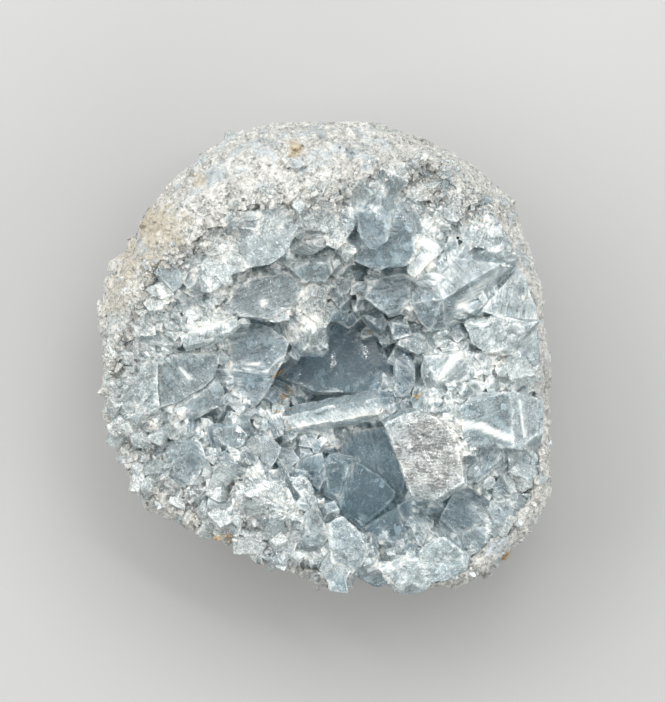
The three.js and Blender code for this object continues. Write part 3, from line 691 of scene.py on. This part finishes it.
def gap_crystals():
    """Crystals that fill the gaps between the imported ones, the widest gaps first."""
    random = np.random.default_rng(SEED + 4)
    height = height_map(PACKED["crystal_crust"])
    closed = over_disc(over_disc(height, GAP_REACH, np.maximum), GAP_REACH, np.minimum)
    inside = height > height_map(PACKED["rind"])
    x, y = np.meshgrid(MAP_TICKS, MAP_TICKS, indexing="ij")
    for centre_x, centre_y, reach in OPEN_PLACES:
        inside &= np.hypot(x - mm(centre_x), y - mm(centre_y)) > mm(reach)
    crystals = []
    for place_x, place_y, top, half_width in SET_CRYSTALS:
        place = (mm(place_x), mm(place_y), mm(top))
        i, j = (int(round((value + MAP_EDGE) / MAP_STEP)) for value in place[:2])
        crystals.append(standing_crystal(place, height[i, j], mm(half_width), random))
        near = np.hypot(x - place[0], y - place[1]) < mm(half_width)
        height[near] = np.maximum(height[near], mm(top))
    for half_width in GAP_SIZES:
        gap = over_disc(np.where(inside, closed - height, 0), 0.5 * half_width, np.minimum)
        cells = np.argwhere(gap > 0.8 * half_width)
        random.shuffle(cells)
        taken = []
        for i, j in cells:
            here = (x[i, j], y[i, j])
            if all(math.dist(here, other) > 1.2 * half_width for other in taken):
                taken.append(here)
                top = closed[i, j] - half_width * random.uniform(0.1, 1.1)
                crystals.append(standing_crystal((*here, top), height[i, j], half_width, random))
                near = np.hypot(x - here[0], y - here[1]) < 0.9 * half_width
                height[near] = np.maximum(height[near], top)
    return [(points, triangles) for points, triangles in crystals
            if away_from(points, *NOTCH).min() > 1]


def mesh_of(name, points, triangles):
    mesh = bpy.data.meshes.new(name)
    mesh.from_pydata(points, [], triangles)
    mesh.validate()
    return mesh


def joined(shapes):
    """Several shapes' points and triangles as one."""
    starts = np.cumsum([0] + [len(points) for points, _ in shapes[:-1]])
    return (np.concatenate([points for points, _ in shapes]),
            np.concatenate([triangles + start for start, (_, triangles) in zip(starts, shapes)]))


def join_solids(piece, solids):
    """Joins closed shapes to the piece, so that all is one solid. Each batch's shapes lie apart."""
    while solids:
        batch, later = [], []
        for solid in solids:
            low, high = solid[0].min(axis=0), solid[0].max(axis=0)
            apart = all((low > other[0].max(axis=0)).any() or (high < other[0].min(axis=0)).any()
                        for other in batch)
            (batch if apart else later).append(solid)
        tool = new_object("tool", mesh_of("tool", *joined(batch)))
        join = piece.modifiers.new("join", "BOOLEAN")
        join.operation = "UNION"
        join.solver = "MANIFOLD"
        join.object = tool
        apply_modifiers(piece)
        bpy.data.objects.remove(tool)
        solids = later


# -------- the crystals
CRYSTAL_CELL = mm(0.7)
RIDGE_REACH = mm(1.2)  # how far from a ridge the crystals are worn into chips and carry a painted white edge highlight
CREVICE_REACH = mm(2)

# Crystals with rounded, melted-looking edges: centre from above in mm, and reach.
ROUNDED = [(-18.5, 27.5, 13), (3, 31, 6), (20.5, -55.5, 7), (-48.5, -14.3, 6), (51, 3, 5), (16, 33, 9)]
ROUNDING_STEPS = 7
ROUNDING_LOW = mm(30)  # the crystals below this keep their edges

CLEAR_WITHIN = mm(22)  # this near to the middle the crystals are clearest
ROUGH_OVER = mm(30)  # and this much further out they are roughest
PALE_ABOVE = mm(58)  # crystals lower than this turn bluer and darker: partly the blue of thick crystals, partly painted shade of the deep hollow
BLUE_OVER = mm(28)
LOOK_PULL = 0.7  # how far a face's look follows its row below

# How the crystals' faces look, by place. Each row: centre in mm from above, reach, frost, blue, stripes.
LOOKS = [
    (-25, 23, 8, 0.85, 0.05, 0.3),  # the large frosted crystal at the upper left
    (-13, 33, 7.5, 0.45, 0.2, 0.2),
    (3.8, 32.5, 5, 0.75, 0.1, 0.8),
    (15.2, 32.5, 9, 0.05, 0.75, 0.3),  # the large dark smooth one beside it
    (24.5, 25.5, 3.5, 1.0, 0, 0.2),
    (16, 16.3, 7, 0.35, 0.3, 0.4),
    (32.7, 17.5, 12, 0.05, 0.5, 0.15),  # the large block at the right
    (42.7, 5, 8, 0.45, 0.1, 0.6),
    (33.5, -3.2, 8, 0.3, 0.3, 1.0),
    (43.5, -15, 10, 0.2, 0.4, 0.5),  # the square block
    (26, -23, 10, 0.55, 0, 0.15),  # the flat frosted plate
    (40.7, -26, 6, 0.15, 0.6, 0.9),
    (36.2, -41.2, 9, 0.15, 0.5, 0.2),
    (29.5, -52, 6, 0.4, 0.2, 0.3),
    (20.5, -55.5, 6, 0.45, 0.1, 0.2),  # the rounded knob
    (5.7, -48.2, 7, 0.35, 0.4, 0.4),
    (12.5, -32.5, 11, 0.0, 0.9, 0.3),  # the deep blocks at the lower centre
    (2.7, 0.7, 11, 0.0, 0.8, 0.4),  # the dark block in the middle
    (13, 11, 7, 0.15, 0.6, 0.6),
    (4, -14.2, 8, 0.3, 0.4, 0.35),  # the long bar
    (-16.2, -1.7, 8, 0.15, 0.7, 0.8),
    (-4.2, 8, 5, 0.5, 0.1, 1.0),
    (-3.5, 15, 6, 0.85, 0, 0.2),
    (-33, -5, 9, 0.2, 0.3, 0.5),
    (-40.5, 6.5, 6, 0.3, 0.35, 0.4),
    (-27.7, 7.5, 6, 0.45, 0.1, 0.9),
    (-45.5, -6.5, 6, 0.4, 0.1, 0.5),
    (-51, 10, 7, 0.9, 0, 0.4),
    (-40.4, 15, 3, 1.0, 0, 0.2),
    (-33.5, 18.7, 8, 0.3, 0.4, 0.4),
]

# Where the crust is broken and frosted on the outside: centre from above in mm, and reach.
BROKEN_SIDES = [(-30, 40, 32), (0, 56, 26), (32, 46, 16), (-50, -16, 26), (-28, -42, 26), (-50, 18, 26)]

# Large crystals, and the notch, that stay almost free of grains: centre from above in mm, and reach.
SMOOTH_PLACES = [(-25, 22, 7.5), (-13.5, 32, 7), (-38, 16, 7.5), (3.7, 32, 5.5), (14, 35, 9.5),
                 (33, 19, 12), (-34, -5, 9), (-41, 6, 6), (-16, -1, 9), (36, -42, 9), (28, -52, 6),
                 (26, -23, 10), (9.7, -55, 5)]
BROKEN_LEAST = 0.12  # how broken the crust is elsewhere
BROKEN_SMOOTH = 0.06  # and on the large crystals


def brokenness(points):
    """From almost 0 on the large clear crystals to 1 where the crust is broken."""
    most = np.full(len(points), BROKEN_LEAST)
    for place in BROKEN_SIDES:
        most = np.maximum(most, np.clip(2 - 2 * away_from(points, *place), 0, 1))
    for place in SMOOTH_PLACES:
        most[away_from(points, *place) < 1] = BROKEN_SMOOTH
    return most


def crystal_looks(centres, random):
    """Frost, blue and stripes of each face, by its place and its depth and by chance."""
    edge = np.hypot(centres[:, 0], centres[:, 1])
    rough = np.clip((edge - CLEAR_WITHIN) / ROUGH_OVER, 0, 1)
    frost = np.clip(random.normal(0.12 + 0.45 * rough * brokenness(centres), 0.2), 0, 1)
    # painted depth shade: the lower a face lies, the bluer and darker it is painted
    depth = (PALE_ABOVE - centres[:, 2]) / BLUE_OVER
    blue = np.clip(depth + random.normal(0, 0.12, len(centres)), 0, 1)
    stripes = random.random(len(centres)) ** 2
    for x, y, reach, *look in LOOKS:
        near = away_from(centres, x, y, reach) < 1
        for values, wanted in zip((frost, blue, stripes), look):
            values[near] += LOOK_PULL * (wanted - values[near])
    return frost, blue, stripes


def round_off(piece):
    """Smooths the mesh at the places of the rounded crystals, most in their middles."""
    points = rows(piece.data.vertices, "co")
    group = piece.vertex_groups.new(name="rounded")
    for place in ROUNDED:
        away = away_from(points, *place)
        for share in (0.35, 0.7, 1.0):
            near = np.flatnonzero((away < 1.3 - 0.3 * share) & (points[:, 2] > ROUNDING_LOW))
            group.add(near.tolist(), share, "REPLACE")
    smooth = piece.modifiers.new("rounded", "SMOOTH")
    smooth.vertex_group = "rounded"
    smooth.iterations = ROUNDING_STEPS
    smooth.factor = 0.6
    apply_modifiers(piece)
    piece.vertex_groups.clear()


def crystal_relief(points, normals, ridge, broken):
    """The points, moved so that faces break into facets, ridges are chipped and edges sway."""
    relief = smooth_noise(points, mm(5)) * mm(0.15)
    relief += facet_relief(points, mm(5), mm(0.3), 0.22) * np.clip(broken * 1.6, 0.2, 1)
    relief += facet_relief(points, mm(2.2), mm(0.2), 0.3, seed=3) * np.clip(broken * 1.6 - 0.2, 0.05, 1)
    chips = np.clip(smooth_noise(points, mm(1.7), seed=2) + 0.15, 0, 1)
    relief -= chips * mm(0.9) * ridge ** 2 * np.clip(broken * 1.5, 0.4, 1)
    points = points + normals * relief[:, None]
    sway = noise_vectors(points, mm(6), (7, 8, 9)) * mm(0.5)
    sway += noise_vectors(points, mm(2.4), (13, 14, 15)) * mm(0.22)
    sway -= 0.8 * normals * dots(normals, sway)[:, None]
    return points + sway


def add_crystals(material):
    rind = PACKED["rind"]
    piece = packed_copy("crystal_crust", "crystals")
    join_solids(piece, gap_crystals())
    bm = bmesh.new()
    bm.from_mesh(piece.data)
    bmesh.ops.triangulate(bm, faces=bm.faces[:])
    bm.faces.ensure_lookup_table()
    plane_of, centres, directions = number_planes(bm)
    hidden = lies_against(rind, centres)
    edges = [edge for edge in bm.edges if edge.is_manifold and edge.calc_face_angle() > SHARP
             and not any(hidden[plane_of[face.index]] for face in edge.link_faces)]
    ridges = tree_of(points_along([edge for edge in edges if edge.is_convex], mm(0.3)))
    crevices = tree_of(points_along([edge for edge in edges if not edge.is_convex], mm(0.4)))
    coarse = BVHTree.FromBMesh(bm)
    bm.free()

    remesh(piece, CRYSTAL_CELL, rind)
    round_off(piece)
    mesh = piece.data
    points, normals, triangles = arrays_of(mesh)
    middles = points[triangles].mean(axis=1)
    plane = plane_of[[coarse.find_nearest(middle)[2] for middle in middles]]

    looks = crystal_looks(centres, np.random.default_rng(SEED))
    frost = looks[0][plane]
    ridge = closeness(points, ridges, RIDGE_REACH)
    crevice = closeness(points, crevices, CREVICE_REACH)
    back = np.zeros(len(points), dtype=bool)
    back[triangles[hidden[plane]].ravel()] = True
    broken = np.zeros(len(points))
    broken[triangles.ravel()] = np.repeat(frost, 3)
    points = np.where(back[:, None], points, crystal_relief(points, normals, ridge, broken))
    points = pressed_in(points)
    reshape(mesh, points)

    along, across = grain_of(centres, directions)
    corner_plane = np.repeat(plane, 3)
    reach = points[triangles.ravel()] - centres[corner_plane]
    grain = (dots(reach, across[corner_plane]), dots(reach, along[corner_plane]),
             corner_plane * TEXTURE_STEP)
    set_attribute(mesh, "grain", np.stack(grain, axis=1), "CORNER")
    for name, values in (("ridge", ridge), ("crevice", crevice), ("shine", painted_highlight_at(points)),
                         ("rippled", rippled_at(points))):
        set_attribute(mesh, name, values)
    set_looks(mesh, looks, plane)
    finish_piece(piece, material, "crystal_crust")
    shown = ~hidden[plane]
    return Surface(points, triangles[shown], crevice[triangles[shown]].mean(axis=1), frost[shown])


# Bands painted white on the crystals as painted highlights where their facets mirror the lights, some over
# frosted faces: both ends from above and half width in mm, and strength.
PAINTED_HIGHLIGHT_BANDS = [
    (23.5, 29.5, 27.5, 28, 1.3, 0.85),  # the zigzag edge of the large block at the upper right
    (27, 28, 25, 23.5, 1.5, 0.65),
    (24, 23, 21.5, 21, 1.2, 0.45),
    (34, 14, 41, 20, 1.3, 0.5),
    (41, 20, 45, 23, 0.9, 0.5),
    (11.3, 17.5, 13, 20, 0.4, 0.8),
    (21.3, 12, 24, 9, 0.5, 0.7),
    (28.6, -4.5, 33.5, 1.5, 1.0, 0.8),  # the striped band lower down
    (44, 0.5, 46, -1.5, 0.5, 0.9),
    (34, -16, 40, -16.5, 0.9, 1.0),  # the bright band across the square block
    (39, -16.5, 46, -19.5, 0.9, 1.0),
    (48.5, -10, 50, -19, 0.35, 0.7),
    (-33.5, 8, -24, 9.5, 0.9, 0.4),  # the frosted band at the left
    (-24, -0.8, -15, -1.2, 0.35, 0.8),  # thin lines on the left block
    (-23, -2.3, -14, -2.8, 0.3, 0.7),
    (-53.5, 14, -48, 6, 1.5, 0.8),  # the white facet at the left edge
    (-49, 4, -50, -8, 1.0, 0.6),
    (-8.2, 6, -4.5, 9.5, 1.6, 0.6),  # the striped face at the middle
    (-17.5, -28.5, -16, -27, 0.9, 1.0),
    (-46.5, -12, -44, -15, 0.8, 0.6),
    (-39.5, 15.5, -40.5, 17, 0.8, 1.0),
    (-15, 14, -15, 14.5, 0.9, 0.9),
    (-36, -2, -33.5, -4.5, 0.5, 0.9),
    (-6, -16.5, 14, -12.5, 1.6, 0.45),  # the frosted lower side of the long bar
]


# Painted highlights: how strongly each point lies on one of the bright bands.
def painted_highlight_at(points):
    shine = np.zeros(len(points))
    for ax, ay, bx, by, half, strength in PAINTED_HIGHLIGHT_BANDS:
        start, way = np.array([mm(ax), mm(ay)]), np.array([mm(bx - ax), mm(by - ay)])
        share = np.clip((points[:, :2] - start) @ way / (way @ way), 0, 1)
        away = np.linalg.norm(points[:, :2] - start - share[:, None] * way, axis=1)
        shine = np.maximum(shine, strength * np.clip(1.5 - away / mm(half), 0, 1))
    return shine


# The flat plate with a rippled face: centre from above in mm, and reach.
RIPPLED = (25.5, -23.5, 11.5)
RIPPLED_LOW = mm(36)  # what lies lower isn't the plate


def rippled_at(points):
    return np.clip(4 - 4 * away_from(points, *RIPPLED), 0, 1) * (points[:, 2] > RIPPLED_LOW)


def grain_of(centres, directions):
    """The direction that each face's growth lines run in, and the one across them."""
    along = np.cross(directions, noise_vectors(centres, mm(14), (4, 5, 6)))
    along /= np.linalg.norm(along, axis=1)[:, None] + 1e-9
    return along, np.cross(directions, along)


# -------- the rind
RIND_CELL = mm(0.66)
RIND_RELIEF = mm(0.9)  # how far the relief moves the rind's surface at most
RIND_RAISE = mm(0.4)  # makes up for the folds, which only go inwards
FOOT_FADE = mm(3)  # the relief fades out over this height, so that the resting spot stays flat

# The axes along which the stains' noise runs, so that its cells don't show from any usual side.
SLANTED = np.array([(0.8, 0.36, -0.48), (-0.6, 0.48, -0.64), (0, 0.8, 0.6)])

# Tan stains on the rind: centre from above in mm, reach and strength.
STAINS = [(-42, 34, 8, 0.9), (-48, 24, 8, 0.7), (-52, 17, 6, 0.5), (-30.7, 45.2, 2.5, 0.8),
          (-7.5, 52.5, 1.8, 1.4), (-7.5, 50.5, 1, 1.4), (-10.7, 49.2, 0.6, 1.8), (46.7, -50, 3, 0.5)]


def stain_at(points):
    stain = np.zeros(len(points))
    slanted = points @ SLANTED
    uneven = 0.5 * smooth_noise(slanted, mm(4), seed=16) + 0.4 * smooth_noise(slanted, mm(1.6), seed=17)
    for *place, strength in STAINS:
        near = np.clip(1.4 - away_from(points, *place) + uneven, 0, 1)
        stain = np.maximum(stain, strength * near)
    return stain * np.clip(points[:, 2] / mm(10) - 3.4 + 2 * uneven, 0, 1)


def rind_relief(points):
    """How far each point of the rind moves out: lumps, flat facets and folds of two sizes."""
    relief = facet_relief(points, mm(6), mm(0.4), 0.2) + facet_relief(points, mm(2.4), mm(0.25), 0.25, 1)
    relief += smooth_noise(points, mm(8)) * mm(0.7)
    relief -= np.abs(smooth_noise(points, mm(2.6), seed=11)) * mm(0.7)
    relief -= np.abs(smooth_noise(points, mm(1.5), seed=12)) * mm(0.4)
    return RIND_RELIEF * np.tanh((relief + RIND_RAISE) / RIND_RELIEF)


def add_rind(material):
    crust = PACKED["crystal_crust"]
    piece = packed_copy("rind", "rind_rock")
    remesh(piece, RIND_CELL, crust)
    mesh = piece.data
    points, normals, triangles = arrays_of(mesh)
    back = lies_against(crust, points)
    fade = np.clip(points[:, 2] / FOOT_FADE, 0, 1)
    points += normals * (np.where(back, 0, rind_relief(points)) * fade)[:, None]
    points = pressed_in(points)
    reshape(mesh, points)
    set_attribute(mesh, "stain", stain_at(points))
    finish_piece(piece, material, "rind")
    return Surface(points, triangles[~back[triangles].all(axis=1)])


# -------- small crystals
CREVICE_CRYSTALS = 950
RIND_CRYSTALS = 700
RIND_GRAINS = 2900
RIM_GRAINS = 1900
SEAM_GRAINS = 420
EDGE_TEETH = 150
FLAWS = 2600
FLAKE = 0.025  # how thin the flaws are

# Smallest and largest size in mm, share that is frosted over, how blue, and how deep they sit.
SCATTERED = {
    "rind_crystals": (0.6, 2.2, 0.85, 0.05, 0.4),
    "rind_grains": (0.5, 1.3, 1, 0, 0.45),
    "rim_grains": (0.5, 1.9, 1, 0, 0.55),
    "edge_grains": (1.5, 3.4, 1, 0, 0.35),
    "matrix_grains": (0.2, 0.8, 1, 0, 0.2),
}

RIM_LOW = mm(30)  # the rim around the opening lies above this
FACES_UP = -0.2  # faces that lean back further than this aren't seen from above
THINNED = 3  # one in so many faces is enough to measure how near a piece is
LOWER_PART = mm(5)  # below this y the crevices hold larger crystals, all half frosted


class Surface:
    """A mesh's shown triangles, to pick places on."""

    def __init__(self, points, triangles, crevice=None, frost=None):
        self.points = points
        self.triangles = triangles
        self.crevice = crevice
        self.frost = frost
        a, b, c = (points[triangles[:, i]] for i in range(3))
        cross = np.cross(b - a, c - a)
        self.area = np.linalg.norm(cross, axis=1) / 2
        self.normal = cross / (2 * self.area[:, None] + 1e-15)
        self.centre = (a + b + c) / 3

    def pick(self, count, weight, random):
        """Places on the surface, more of them where the weight is high, with their directions."""
        chance = self.area * weight
        chosen = random.choice(len(self.area), count, p=chance / chance.sum())
        share = random.dirichlet((1, 1, 1), count)
        places = np.einsum("ij,ijk->ik", share, self.points[self.triangles[chosen]])
        return places, self.normal[chosen]


BLOCK_KINDS = 8
BLOCK_CUTS = 5
BLOCK_SIDES = (0.9, 0.7, 1.35)


def crystal_shapes(random):
    """A few small blocks with flat faces and cut corners, about 1 across."""
    shapes = []
    for _ in range(BLOCK_KINDS):
        cuts = []
        for _ in range(BLOCK_CUTS):
            direction = Vector(random.normal(size=3)).normalized()
            cuts.append((direction, 0.28 + 0.16 * random.random()))
        shapes.append(cut_box(BLOCK_SIDES, cuts))
    return shapes


def grow(name, places, outward, sizes, looks, material, random, sink, flat=1.0):
    """Joins one small crystal for each place into one piece. looks holds frost, blue and stripes."""
    blocks = crystal_shapes(random)
    axis = outward + random.normal(0, 0.45, outward.shape)
    axis /= np.linalg.norm(axis, axis=1)[:, None]
    side = np.cross(axis, random.normal(size=axis.shape))
    side /= np.linalg.norm(side, axis=1)[:, None]
    turn = np.stack([side, np.cross(axis, side), axis], axis=2)
    places = places - axis * (sink * sizes)[:, None]
    stretch = random.uniform(0.75, 1.3, (len(places), 3)) * (flat, 1, 1)
    kind = random.integers(len(blocks), size=len(places))

    shapes, grain, owner = [], [], []
    for k, (points, triangles) in enumerate(blocks):
        chosen = np.flatnonzero(kind == k)
        local = points[None] * (stretch[chosen] * sizes[chosen, None])[:, None]
        world = np.einsum("nij,npj->npi", turn[chosen], local) + places[chosen, None]
        numbers = np.arange(len(chosen))[:, None, None] * len(points) + triangles
        shapes.append((world.reshape(-1, 3), numbers.reshape(-1, 3)))
        grain.append((local + chosen[:, None, None] * TEXTURE_STEP).reshape(-1, 3))
        owner.append(np.repeat(chosen, len(triangles)))
    points, triangles = joined(shapes)
    points = within_cad_box(points)

    mesh = mesh_of(name, points, triangles)
    mesh.shade_flat()
    set_attribute(mesh, "grain", np.concatenate(grain))
    set_looks(mesh, looks, np.concatenate(owner))
    set_attribute(mesh, "stain", stain_at(points))
    finish_piece(new_object(name, mesh), material)


def sizes_between(low, high, count, random):
    """Many small sizes and few large ones."""
    return mm(low) + mm(high - low) * random.random(count) ** 2.5


def random_looks(count, random, frosted, blue):
    """Frost, blue and stripes by chance. A share of them is frosted over, and the others are clear."""
    frost = np.where(random.random(count) < frosted, 0.75, 0.1) + random.normal(0, 0.12, count)
    return frost, np.clip(random.normal(blue, 0.2, count), 0, 1), random.random(count)


def scatter(name, places, outward, material, slot, random):
    """Grows one of the pieces in SCATTERED at these places."""
    low, high, frosted, blue, sink = SCATTERED[name]
    sizes = sizes_between(low, high, len(places), random)
    looks = random_looks(len(places), random, frosted, blue)
    grow(name, places, outward, sizes, looks, material, random, sink)


def add_small_crystals(crystals, rind, rim, crust, celestite, rock):
    random = np.random.default_rng(SEED + 1)

    # in the crevices and over the broken outer part of the crust
    near_rim = closeness(crystals.centre, rim, mm(12))
    weight = 0.1 * near_rim ** 2 + crystals.crevice ** 2 * (0.03 + near_rim)
    weight *= brokenness(crystals.centre)
    places, outward = crystals.pick(CREVICE_CRYSTALS, weight, random)
    low = places[:, 1] < LOWER_PART
    sizes = sizes_between(0.6, 3.2, len(places), random) * np.where(low, 1.8, 1)
    frosted = 0.35 + 0.6 * closeness(places, rim, mm(14))
    frost, blue, _ = looks = random_looks(len(places), random, frosted, 0.25)
    frost[low] = 0.5 + 0.35 * (frost[low] - 0.5)
    blue[low] *= 0.3
    grow("crevice_crystals", places, outward, sizes, looks, celestite, random, sink=0.35)

    # over the rind's outside, thickest where it meets the crust
    near_crust = closeness(rind.centre, crust, mm(7))
    above = np.clip(rind.normal[:, 2] + 0.6, 0.12, 1)
    weight = above * (0.05 + 2 * near_crust * brokenness(rind.centre))
    scatter("rind_crystals", *rind.pick(RIND_CRYSTALS, weight, random), celestite, "celestite", random)
    at_seam = closeness(rind.centre, crust, mm(2.5))
    weight = above * (0.25 + near_crust + 3 * at_seam)
    scatter("rind_grains", *rind.pick(RIND_GRAINS, weight, random), rock, "rind", random)


def add_rim_grains(crystals, rind, rim, crust, rock):
    """White grains that spread from the rind over the broken outer part of the crust."""
    random = np.random.default_rng(SEED + 5)
    weight = closeness(crystals.centre, rim, mm(9)) * brokenness(crystals.centre) ** 2
    weight *= np.clip((crystals.centre[:, 1] - mm(8)) / mm(10), 0.12, 1)
    scatter("rim_grains", *crystals.pick(RIM_GRAINS, weight, random), rock, "rind", random)

    # larger ones in the seam between the two, and along the edge, which is ragged at the lower left
    seam = closeness(rind.centre, crust, mm(2.2)) ** 2 * brokenness(rind.centre)
    places, outward = rind.pick(SEAM_GRAINS, seam * (rind.normal[:, 2] > FACES_UP), random)
    edge = (np.abs(rind.normal[:, 2]) < 0.4) * (rind.centre[:, 2] > mm(14))
    ragged = np.where((rind.centre[:, 1] < mm(-18)) & (rind.centre[:, 0] < mm(18)), 1.0, 0.15)
    teeth, away = rind.pick(EDGE_TEETH, edge * ragged, random)
    places, outward = np.concatenate([places, teeth]), np.concatenate([outward, away])
    scatter("edge_grains", places, outward, rock, "rind", random)


def add_flaws(crystals):
    """Thin white flakes just under the clear crystals' faces: the cracks that shine inside them."""
    random = np.random.default_rng(SEED + 2)
    places, outward = crystals.pick(FLAWS, np.clip(0.6 - crystals.frost, 0, 1) ** 2, random)
    sizes = sizes_between(0.6, 3.2, len(places), random)
    places = places - outward * (sizes * 0.6 + mm(3) * random.random(len(places)))[:, None]
    packed = PACKED["crystal_crust"]
    inside = []
    for place, size in zip(places, sizes):
        nearest, normal, _, distance = packed.find_nearest(place)
        inside.append((Vector(place) - nearest).dot(normal) < 0 and distance > 0.5 * size)
    places, outward, sizes = (values[inside] for values in (places, outward, sizes))
    looks = random_looks(len(places), random, 1, 0)
    grow("inner_flaws", places, outward, sizes, looks, flaw_material(), random,
         sink=0, flat=FLAKE)


# Spots with grains of tan matrix between the crystals: centre from above in mm, reach and count.
MATRIX_SPOTS = [(-12, -3, 2, 30), (-9.5, -8.5, 2.5, 45), (-10.5, -13, 2.5, 40), (-8.5, -16.5, 2, 25),
                (23.5, -8.7, 1.6, 25), (-33, -39.2, 2, 30), (-27.7, -45.2, 2, 30), (-24.2, -44, 2.5, 35),
                (46.5, -50, 2.5, 35), (-7.5, 51.5, 2, 20), (12, 7, 1.5, 12)]


def add_matrix_grains(surfaces):
    random = np.random.default_rng(SEED + 3)
    places, outward = [], []
    for x, y, reach, count in MATRIX_SPOTS:
        for surface in surfaces:
            near = np.clip(1 - away_from(surface.centre, x, y, reach), 0, 1)
            weight = near * np.clip(surface.normal[:, 2], 0, 1)
            if weight.sum() > 1:
                picked = surface.pick(count, weight, random)
                places.append(picked[0])
                outward.append(picked[1])
    places, outward = np.concatenate(places), np.concatenate(outward)
    scatter("matrix_grains", places, outward, matrix_material(), "rind", random)


# -------- the whole geode
add_camera()
add_lights()
add_floor()
celestite = celestite_material()
crystal_surface = add_crystals(celestite)
rock = rind_material()
rind_surface = add_rind(rock)
rim_faces = (rind_surface.normal[:, 2] > FACES_UP) & (rind_surface.centre[:, 2] > RIM_LOW)
rim = tree_of(rind_surface.centre[rim_faces][::THINNED])
crust = tree_of(crystal_surface.centre[::THINNED])
add_small_crystals(crystal_surface, rind_surface, rim, crust, celestite, rock)
add_rim_grains(crystal_surface, rind_surface, rim, crust, rock)
add_flaws(crystal_surface)
add_matrix_grains((crystal_surface, rind_surface))
